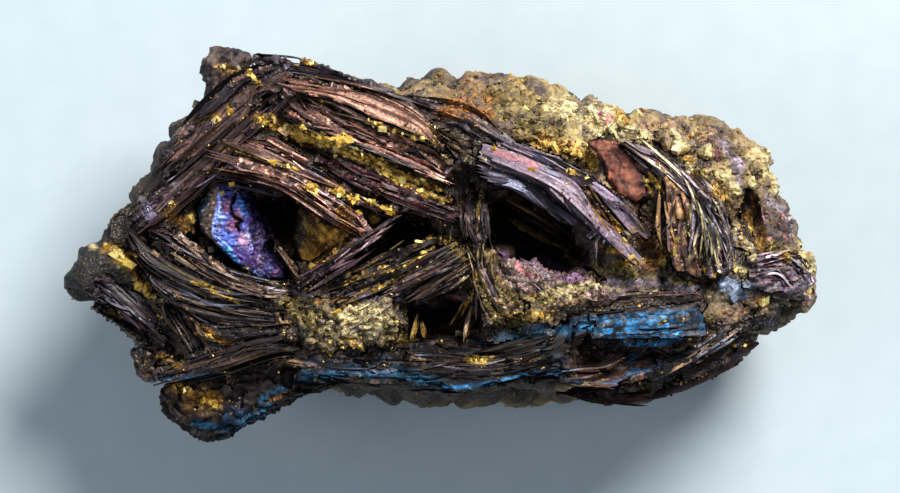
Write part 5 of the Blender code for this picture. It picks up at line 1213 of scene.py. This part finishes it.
tops = [[(surface_under((i - COLUMNS / 2) * STEP * MM, (j - ROWS / 2) * STEP * MM) or 0) / MM
         for i in range(COLUMNS + 1)] for j in range(ROWS + 1)]
bridged = spread_out(spread_out(spread_out(tops, max), min), mean, 2)
packing = bmesh.new()
bmesh.ops.create_grid(packing, x_segments=COLUMNS, y_segments=ROWS, size=0.5)
packing_tint = packing.verts.layers.float_color.new("tint")
shown = set()
for v in packing.verts:
    i, j = round((v.co.x + 0.5) * COLUMNS), round((v.co.y + 0.5) * ROWS)
    x, y = (i - COLUMNS / 2) * STEP, (j - ROWS / 2) * STEP
    spot = Vector((x, y, 0)) * MM
    lump = noise.fractal(Vector((x, y, 0)) * 0.7, 1.0, 2.1, 3)
    splinter = noise.noise((x * 2.1 + y * 0.9, y * 2.6 - x * 0.8, 4))
    nook = near(spot, -31.2, 1.6, 2.4) > 0      # a gap behind the left tip, closed lower down
    z = (21.0 if nook else bridged[j][i]) - 0.75 + lump * 0.45 + splinter * 0.25
    opening = max(near(spot, -21.5, 1.2, 5.2), near(spot, -6, 0.4, 4.7))
    if nook or (z > tops[j][i] - 0.2 and opening < 0.3 + 0.5 * lump):
        shown.add(v)
    v.co = Vector((x, y, z)) * MM
    # near-black tones: dark sulphide, and painted shade of the seams
    tone = layered(rgb(15, 11, 14), (rgb(58, 44, 42), 0.35 + lump * 0.9 + splinter * 0.5),
                   (rgb(96, 78, 50), splinter * 1.6 - 0.7))
    # darker around the central hollow: painted shade
    tone = scaled(tone, 1 - 0.85 * near(spot, -6, -1.5, 6))
    colour, lift = veined(v.co, tone, 0.8)
    v[packing_tint] = (*colour, 1)
    v.co.z += max(lift, -0.2) * 0.3 * MM
hidden = []
for f in packing.faces:
    low, high = min(v.co.z for v in f.verts), max(v.co.z for v in f.verts)
    if low < 13 * MM or high - low > 1.2 * MM or not all(v in shown for v in f.verts):
        hidden.append(f)
bmesh.ops.delete(packing, geom=hidden, context="FACES")
below = bmesh.ops.extrude_face_region(packing, geom=packing.faces[:])["geom"]
for v in below:
    if isinstance(v, bmesh.types.BMVert):
        v.co.z -= 0.6 * MM
packing_finish = grainy("seam packing", 0.2, (0.35, 0.7), rgb(170, 138, 80), 0.5, 0.8, grain=0.3)
finish_piece("seam_packing", packing, packing_finish, (), crease=60)

# ---------------------------------------------------------------------------------------
# Splinters and strands.  Loose laths and fibres lying on the blades and across the gaps, the
# debris of broken sheets, each a thin slab bent to the surface under it.


STRANDS = [  # how many, spread, widths, lift, minerals, then the line they follow
    (8, 0.8, (0.14, 0.3), 0.1, ("dark", "brown", "brown"), (-28, 7.0), (-23, 11.4), (-17.4, 16)),
    (7, 0.7, (0.14, 0.3), 0.1, ("brown", "slate", "dark"),
     (-17, 17.4), (-9, 16), (-1, 13.6), (4.6, 10.4)),
    (6, 0.4, (0.15, 0.32), 0.05, ("brown", "tan", "dark"), (-13, 13.8), (-6, 12), (0, 9.9)),
    (13, 0.9, (0.15, 0.35), 0.05, ("brown", "dark", "maroon", "tan"),
     (-17.4, 12.3), (-9.4, 9.8), (-1, 6.2)),
    (7, 0.5, (0.14, 0.3), 0.05, ("tan", "brown", "rose"), (-21.6, 9.4), (-15, 7.2), (-8.6, 3.4)),
    (7, 0.6, (0.14, 0.3), 0.05, ("brown", "dark"), (-13.4, 6.4), (-8.4, 4.6), (-4.4, 2.6)),
    (10, 1.0, (0.12, 0.28), 0.1, ("tan", "brown", "slate", "olive"),
     (-29.4, 0.6), (-24, -2.6), (-18.6, -4.6), (-14.8, -4.7)),
    (8, 1.1, (0.12, 0.28), 0.1, ("brown", "slate", "tan"), (-28.4, -3), (-23, -5.6), (-16.4, -5.6)),
    (5, 0.5, (0.12, 0.24), 0.15, ("tan", "tan", "brown"), (-27.6, -4.6), (-25.4, -7.6), (-23.7, -10.8)),
    (7, 0.8, (0.14, 0.3), 0.1, ("slate", "dark", "brown"), (-34.6, -3.2), (-31.2, -6.4), (-27.6, -9.6)),
    (7, 0.6, (0.14, 0.3), 0.05, ("brown", "dark", "tan"), (-28.4, -12.8), (-22, -11), (-15, -8.8)),
    (4, 0.5, (0.08, 0.16), 0.0, ("olive", "dark", "gold"), (-9.8, -3.2), (-7, -1.4), (-4.4, 0.4)),
    (10, 0.9, (0.12, 0.26), 0.1, ("dark", "dark", "olive", "brown"), (-12.2, -5), (-6, -2.6), (0.6, 0.6)),
    (10, 0.9, (0.14, 0.3), 0.1, ("brown", "maroon", "dark", "black"),
     (-6.4, -5.2), (-1.4, -2.8), (3, -0.9)),
    (6, 0.5, (0.12, 0.26), 0.1, ("brown", "dark", "maroon"), (-2, -5.6), (2.4, -3.4)),
    (6, 0.6, (0.14, 0.3), 0.0, ("dark", "brown"), (1.2, 6), (1.6, 3.4), (1.4, 0.6)),
    (3, 0.15, (0.2, 0.35), 0.2, ("olive", "rose"), (3.9, 5.8), (3.4, 3.8), (3.1, 1.2)),
    (11, 0.9, (0.12, 0.3), 0.1, ("tan", "olive", "rose", "lilac", "brown"),
     (2.4, 0.2), (3.6, -3.2), (5.8, -7.2)),
    (5, 1.0, (0.1, 0.22), 0.0, ("dark", "amber", "brown"), (5.4, 5.0), (8.6, 2.8), (12.4, -0.2)),
    (3, 0.9, (0.1, 0.2), 0.1, ("rose", "lilac", "dark"), (6.4, -1.6), (8.8, -2.8), (10.8, -4.6)),
    (3, 0.12, (0.2, 0.3), 0.3, ("lilac",), (14.1, 0.8), (15.2, 1.7)),
    (3, 0.15, (0.2, 0.3), 0.3, ("lilac", "rose"), (15.0, -1.0), (15.0, 0.5), (15.7, 1.3)),
    (2, 0.1, (0.2, 0.3), 0.3, ("lilac",), (15.6, 0), (16.2, 1.5)),
    (7, 0.5, (0.14, 0.3), 0.1, ("lilac", "rose", "brown"), (15.6, 4.9), (18.2, 3.4), (19.9, 1.2)),
    (8, 0.7, (0.12, 0.28), 0.05, ("brown", "dark", "amber"), (13.4, 6), (15.4, 3.4), (17.6, 0.6)),
    (8, 0.5, (0.12, 0.26), 0.1, ("lilac", "lilac", "slate", "cream"),
     (18.8, 11), (21.8, 8.4), (25.2, 5), (28.2, 2.4)),
    (5, 0.9, (0.12, 0.26), 0.1, ("brown", "brown", "dark"), (22.6, 6), (22.2, 2.6), (20.4, -0.2)),
    (9, 0.8, (0.12, 0.26), 0.1, ("cream", "lilac", "tan", "slate"),
     (24.4, 3.6), (24.6, 1.6), (24.2, -1.6)),
    (9, 0.8, (0.12, 0.26), 0.1, ("cream", "lilac", "slate", "lilac"),
     (25.2, 3.4), (26.0, 1.4), (26.4, -1.4)),
    (12, 0.6, (0.16, 0.36), 0.3, ("cream", "lilac", "lilac", "tan"),
     (24.4, 5.4), (24.9, 2.6), (24.2, -1.2)),
    (12, 0.6, (0.16, 0.36), 0.3, ("cream", "lilac", "cream", "slate"),
     (25.0, 4.8), (26.0, 2.0), (26.2, -1.4)),
    (10, 0.5, (0.16, 0.34), 0.3, ("lilac", "cream", "slate"), (25.8, 4.4), (27.2, 1.6), (28.2, -0.8)),
    (5, 0.4, (0.12, 0.24), 0.15, ("lilac", "slate"), (28.6, 0.8), (28, -1.4), (26.8, -3.4)),
    (8, 0.8, (0.12, 0.26), 0.1, ("lilac", "rose", "slate"),
     (30.6, -1.8), (32.6, -0.9), (35, -2.2), (35.9, -4.4)),
    (6, 0.6, (0.12, 0.26), 0.1, ("lilac", "brown"), (31, -3.2), (33.4, -2.6), (35.2, -5)),
    (11, 0.9, (0.12, 0.28), 0.05, ("dark", "black", "dark", "brown"),
     (-3.6, -11.4), (3.6, -11.9), (10.4, -10.4)),
    (8, 0.8, (0.12, 0.28), 0.05, ("dark", "brown", "black"), (10, -12.8), (16, -12.2), (21, -9.8)),
    (10, 1.1, (0.14, 0.34), 0.1, ("dark", "dark", "black", "blue"),
     (-8, -11.8), (-4.4, -12.0), (-0.6, -12.0)),
    (10, 1.1, (0.14, 0.34), 0.1, ("dark", "black", "brown", "dark"),
     (2.6, -11.9), (5.8, -11.8), (9.4, -10.9)),
    (10, 0.8, (0.12, 0.28), 0.05, ("dark", "brown", "slate", "tan"),
     (20.8, -13), (25, -10.6), (30.2, -7.2)),
    (8, 0.6, (0.12, 0.28), 0.05, ("brown", "rose", "slate", "tan"),
     (12.6, -6.4), (18.4, -5.4), (25.6, -5)),
    (5, 0.5, (0.12, 0.26), 0.05, ("dark", "black", "brown"), (-14, -10.9), (-9, -11.2), (-4.4, -11.4)),
    (4, 0.25, (0.25, 0.45), 4.0, ("ochre", "gold"), (-3.3, -9.2), (-2.7, -7.0)),
    (3, 0.2, (0.25, 0.4), 4.0, ("amber", "gold"), (-1.9, -9.2), (-2.2, -7.4)),
    (4, 0.3, (0.2, 0.4), 3.0, ("tan", "gold"), (1.9, -9.3), (2.5, -6.4)),
    (5, 0.4, (0.12, 0.25), 5.0, ("gold", "amber"), (6.0, 3.2), (9, 1.2), (12.4, -0.8)),
    (4, 0.5, (0.12, 0.25), 5.5, ("brown", "amber"), (5.6, 4.4), (9.4, 2.2), (12.4, 0.4)),
    (4, 0.5, (0.1, 0.2), 0.1, ("amber", "gold"), (0.4, -8.6), (1.6, -6.6), (2.6, -4.8)),
    (6, 1.0, (0.08, 0.16), 0.15, ("cream", "lilac"), (-11, -9), (-8, -7.2), (-5, -5.6)),
]
strand_finish = striated("splinters", 0.25, (0.3, 0.55), rgb(90, 78, 78), bump=0.3, streak=(0.6, 1.4),
                         patch=0.2)
rng = random.Random("strands")
strands = bmesh.new()
strands.verts.layers.float_vector.new("grain")
strands.verts.layers.float_color.new("tint")
for count, spread, widths, lift, minerals, *line in STRANDS:
    path = [Vector(p) for p in line]
    reach = sum((q - p).length for p, q in zip(path, path[1:]))
    for _ in range(count):
        shift = Vector((rng.gauss(0, spread * 0.55), rng.gauss(0, spread * 0.55)))
        share = rng.uniform(0.25, 0.8) if reach > 3 else rng.uniform(0.7, 1.0)
        first = rng.uniform(0, 1 - share)
        wide = rng.uniform(*widths)
        ribs = []
        for k in range(4):
            t = (first + share * k / 3) * (len(path) - 1)
            i = min(int(t), len(path) - 2)
            spot = path[i].lerp(path[i + 1], t - i) + shift
            side = (path[i + 1] - path[i]).normalized()
            side = Vector((-side.y, side.x)) * wide / 2
            height = surface_under(spot.x * MM, spot.y * MM)
            if height is not None:
                ribs.append((*(spot + side), *(spot - side), height / MM + lift + rng.uniform(-0.1, 0.1)))
        if len(ribs) < 3:
            continue
        heights = sorted(rib[4] for rib in ribs)
        if heights[-1] - heights[0] > 2.5:
            ribs = [(*rib[:4], max(rib[4], heights[-1] - 1.2)) for rib in ribs]
        at, length, width = rails(ribs, 0)
        tone = rng.choice(MINERALS[rng.choice(minerals)][0])
        shade = rng.uniform(0.4, 1.3)
        sheet(strands, at, length, width, (0, 1), (0, 1), 0, rng.uniform(-0.8, 0.8), rng.uniform(0.25, 0.7),
              scaled(tone, shade), rng, ragged=0.3)
finish_piece("loose_strands", strands, strand_finish, (), crease=35)

# ---------------------------------------------------------------------------------------
# Pyrite and crust grains.  Small brassy crystals that grew last, packed in the seams between
# the blades, and the ochre, cream and olive grains of the crusts: angular little chunks.


LOT = 120               # grains gathered at a time


def nugget(bm, place, size, tone, rng, stretch=1.0, turn=None):
    """One angular grain: a cube, a truncated pyramid or a many-sided lump, out of true."""
    tint = bm.verts.layers.float_color["tint"]
    pick = rng.random()
    if pick < 0.3:
        made = bmesh.ops.create_cube(bm, size=1.2)["verts"]
    elif pick < 0.8:
        made = bmesh.ops.create_cone(bm, cap_ends=True, segments=rng.choice((3, 4, 5)), radius1=0.85,
                                     radius2=rng.uniform(0.1, 0.6), depth=rng.uniform(0.8, 1.4))["verts"]
    else:
        made = bmesh.ops.create_icosphere(bm, subdivisions=1, radius=0.75)["verts"]
    spin = Matrix.Rotation(rng.uniform(0, 6.3) if turn is None else turn + rng.gauss(0, 0.2), 3, "Z")
    spin = spin @ Matrix.Rotation(rng.uniform(-0.9, 0.9), 3, "X") @ Matrix.Rotation(
        rng.uniform(-0.9, 0.9), 3, "Y")
    shape = Vector((stretch * rng.uniform(0.8, 1.3), rng.uniform(0.6, 1.1), rng.uniform(0.5, 1.0)))
    for v in made:
        v.co *= 1 + rng.uniform(-0.2, 0.2)
        v.co = place + spin @ (v.co * shape) * size / 2
        v[tint] = (*tone, 1)


class Grains:
    """Gathers grains a lot at a time, which keeps the mesh operators quick."""

    def __init__(self):
        self.mesh, self.lot, self.count = bmesh.new(), bmesh.new(), 0
        self.mesh.verts.layers.float_color.new("tint")
        self.lot.verts.layers.float_color.new("tint")

    def add(self, *grain):
        nugget(self.lot, *grain)
        self.count += 1
        if self.count % LOT == 0:
            self.gather()

    def gather(self):
        lot = bpy.data.meshes.new("lot")
        self.lot.to_mesh(lot)
        self.mesh.from_mesh(lot)
        bpy.data.meshes.remove(lot)
        self.lot.clear()
        self.lot.verts.layers.float_color.new("tint")
        return self.mesh


STREWN = 1700           # specks caught in the hollows of the whole top
rng = random.Random("pyrite")
pyrite, crust = Grains(), Grains()
for mineral, half, *line in VEINS:
    hues, _, crowd, (smallest, largest) = MINERALS[mineral]
    brassy = mineral in ("gold", "chunk", "amber")
    for a, b in zip(line, line[1:]):
        a, b = Vector(a), Vector(b)
        run = b - a
        across = Vector((-run.y, run.x)).normalized()
        number = crowd * (run.length + half) * 2 * half * 1.1
        for _ in range(int(number + rng.random())):
            spot = a.lerp(b, rng.uniform(-0.05, 1.05)) + across * rng.gauss(0, half * 0.62)
            height = surface_under(spot.x * MM, spot.y * MM)
            if height is None:
                continue
            size = (smallest + (largest - smallest) * rng.random() ** 2.2) * MM
            shade = rng.uniform(0.75, 1.2)
            tone = scaled(rng.choice(hues), shade)
            stretch = rng.choice((1.0, 1.2, 1.9))
            place = Vector((spot.x * MM, spot.y * MM, height + size * 0.08))
            (pyrite if brassy else crust).add(place, size, tone, rng, stretch, math.atan2(run.y, run.x))
for x, y, size in CRYSTALS:
    for k in range(4):  # the crystal itself, then three smaller ones against it
        spot = Vector((x + rng.gauss(0, 0.35) * size * (k > 0), y + rng.gauss(0, 0.35) * size * (k > 0)))
        height = surface_under(spot.x * MM, spot.y * MM)
        if height is not None:
            big = size * MM * (1.25 if k == 0 else rng.uniform(0.4, 0.75))
            tone = rng.choice(MINERALS["chunk"][0])
            pyrite.add(Vector((spot.x * MM, spot.y * MM, height + big * 0.05)), big, tone, rng, 1.3)
strewn = 0
while strewn < STREWN:
    x, y = rng.uniform(-36, 36) * MM, rng.uniform(-18, 18) * MM
    height = surface_under(x, y)
    if height is None or height < 12 * MM or x < -31 * MM:
        continue
    if noise.noise((x / (1.6 * MM), y / (1.6 * MM), 5)) < 0.16:
        continue
    around = [surface_under(x + a * 0.5 * MM, y + b * 0.5 * MM) or 0
              for a, b in ((1, 0), (-1, 0), (0, 1), (0, -1))]
    if sum(around) / 4 - height > 0.2 * MM or rng.random() < 0.06:
        strewn += 1
        size = rng.uniform(0.12, 0.42) * MM
        tone = rng.choice(MINERALS[rng.choice(("gold", "gold", "amber", "olive", "chunk"))][0])
        pyrite.add(Vector((x, y, height + size * 0.05)), size, tone, rng)
gold_material, tree, main, here = shader("pyrite crystal", 0.4)
tint = attribute(tree, "tint")
stain = noisy(tree, here, 2600, 3)
shade = ramp(tree, stain, (0.35, (0.5, 0.46, 0.4)), (0.6, 1.1))
coat(tree, main, mix(tree, "MULTIPLY", 1.0, tint, shade), ramp(tree, stain, (0.3, 0.5), (0.7, 0.28)))
finish_piece("pyrite_grains", pyrite.gather(), gold_material, (), crease=20, ground=False)

# ---------------------------------------------------------------------------------------
# Rock crumbs.  Loose-set grains of the matrix itself, each taking the colour of the rock
# around it, over the weathered back, the right-hand block and the sides.
CRUMBS = 4200
rng = random.Random("crumbs")
matrix_mesh = bpy.data.objects["matrix_rock"].data
colours = matrix_mesh.attributes["tint"].data
laid = 0
while laid < CRUMBS:
    face = matrix_mesh.polygons[rng.randrange(len(matrix_mesh.polygons))]
    spot = face.center
    bare = face.normal.z > 0 and in_blades(spot) > 0.25
    if spot.z < 0.8 * MM or bare or rng.random() > 0.6 + 0.4 * face.normal.z:
        continue
    laid += 1
    tone = colours[face.vertices[0]].color
    if face.normal.z < 0.3 and noise.noise(spot / (3 * MM)) > 0.32:
        tone = (*rng.choice(MINERALS["gold"][0]), 1)
    shade = rng.uniform(0.7, 1.35)
    size = (0.2 + 0.9 * rng.random() ** 3) * MM
    crust.add(spot + face.normal * size * 0.05, size, scaled(tone[:3], shade), rng)
crumb_finish = grainy("rock crumbs", 0.1, (0.4, 0.8), rgb(200, 176, 112), 0.6, 0.6)
finish_piece("rock_crumbs", crust.gather(), crumb_finish, (), crease=25, ground=False)

# ---------------------------------------------------------------------------------------
# Floor, soft studio light and the camera, which looks straight down on the specimen.
floor = bmesh.new()
bmesh.ops.create_grid(floor, x_segments=4, y_segments=4, size=1.2)
floor_mesh = bpy.data.meshes.new("floor")
floor.to_mesh(floor_mesh)
floor.free()
paper, tree, main, here = shader("pale floor", 0.0, 0.2)
paper_tone = ramp(tree, noisy(tree, here, 300, 2), (0.3, (0.38, 0.45, 0.49)), (0.7, (0.40, 0.47, 0.51)))
tree.links.new(paper_tone, main.inputs["Base Color"])
main.inputs["Roughness"].default_value = 0.8
floor_mesh.materials.append(paper)
placed("floor", floor_mesh)


def lamp(name, place, size, power, colour):
    """A round soft light that points at the specimen."""
    light = bpy.data.lights.new(name, "AREA")
    light.shape = "DISK"
    light.size = size
    light.energy = power
    light.color = colour
    holder = placed(name, light)
    holder.location = place
    holder.rotation_euler = (Vector((0, 0, 0.015)) - Vector(place)).to_track_quat("-Z", "Y").to_euler()


lamp("window", (0.22, 0.34, 0.42), 0.26, 7.7, (1.0, 0.97, 0.92))
lamp("bounce", (-0.40, -0.10, 0.35), 0.35, 1.1, (0.88, 0.94, 1.0))
world = bpy.data.worlds.new("studio")
bpy.context.scene.world = world
world.use_nodes = True
sky = world.node_tree.nodes["Background"]
sky.inputs["Color"].default_value = (0.75, 0.86, 1.0, 1)
sky.inputs["Strength"].default_value = 0.27
lens = bpy.data.cameras.new("camera")
camera = placed("camera", lens)
camera.location = (0.0005, -0.00015, 0.62)
lens.sensor_width = 36
lens.lens = 240
lens.clip_start = 0.01
bpy.context.scene.camera = camera
bpy.context.scene.view_settings.view_transform = "Standard"
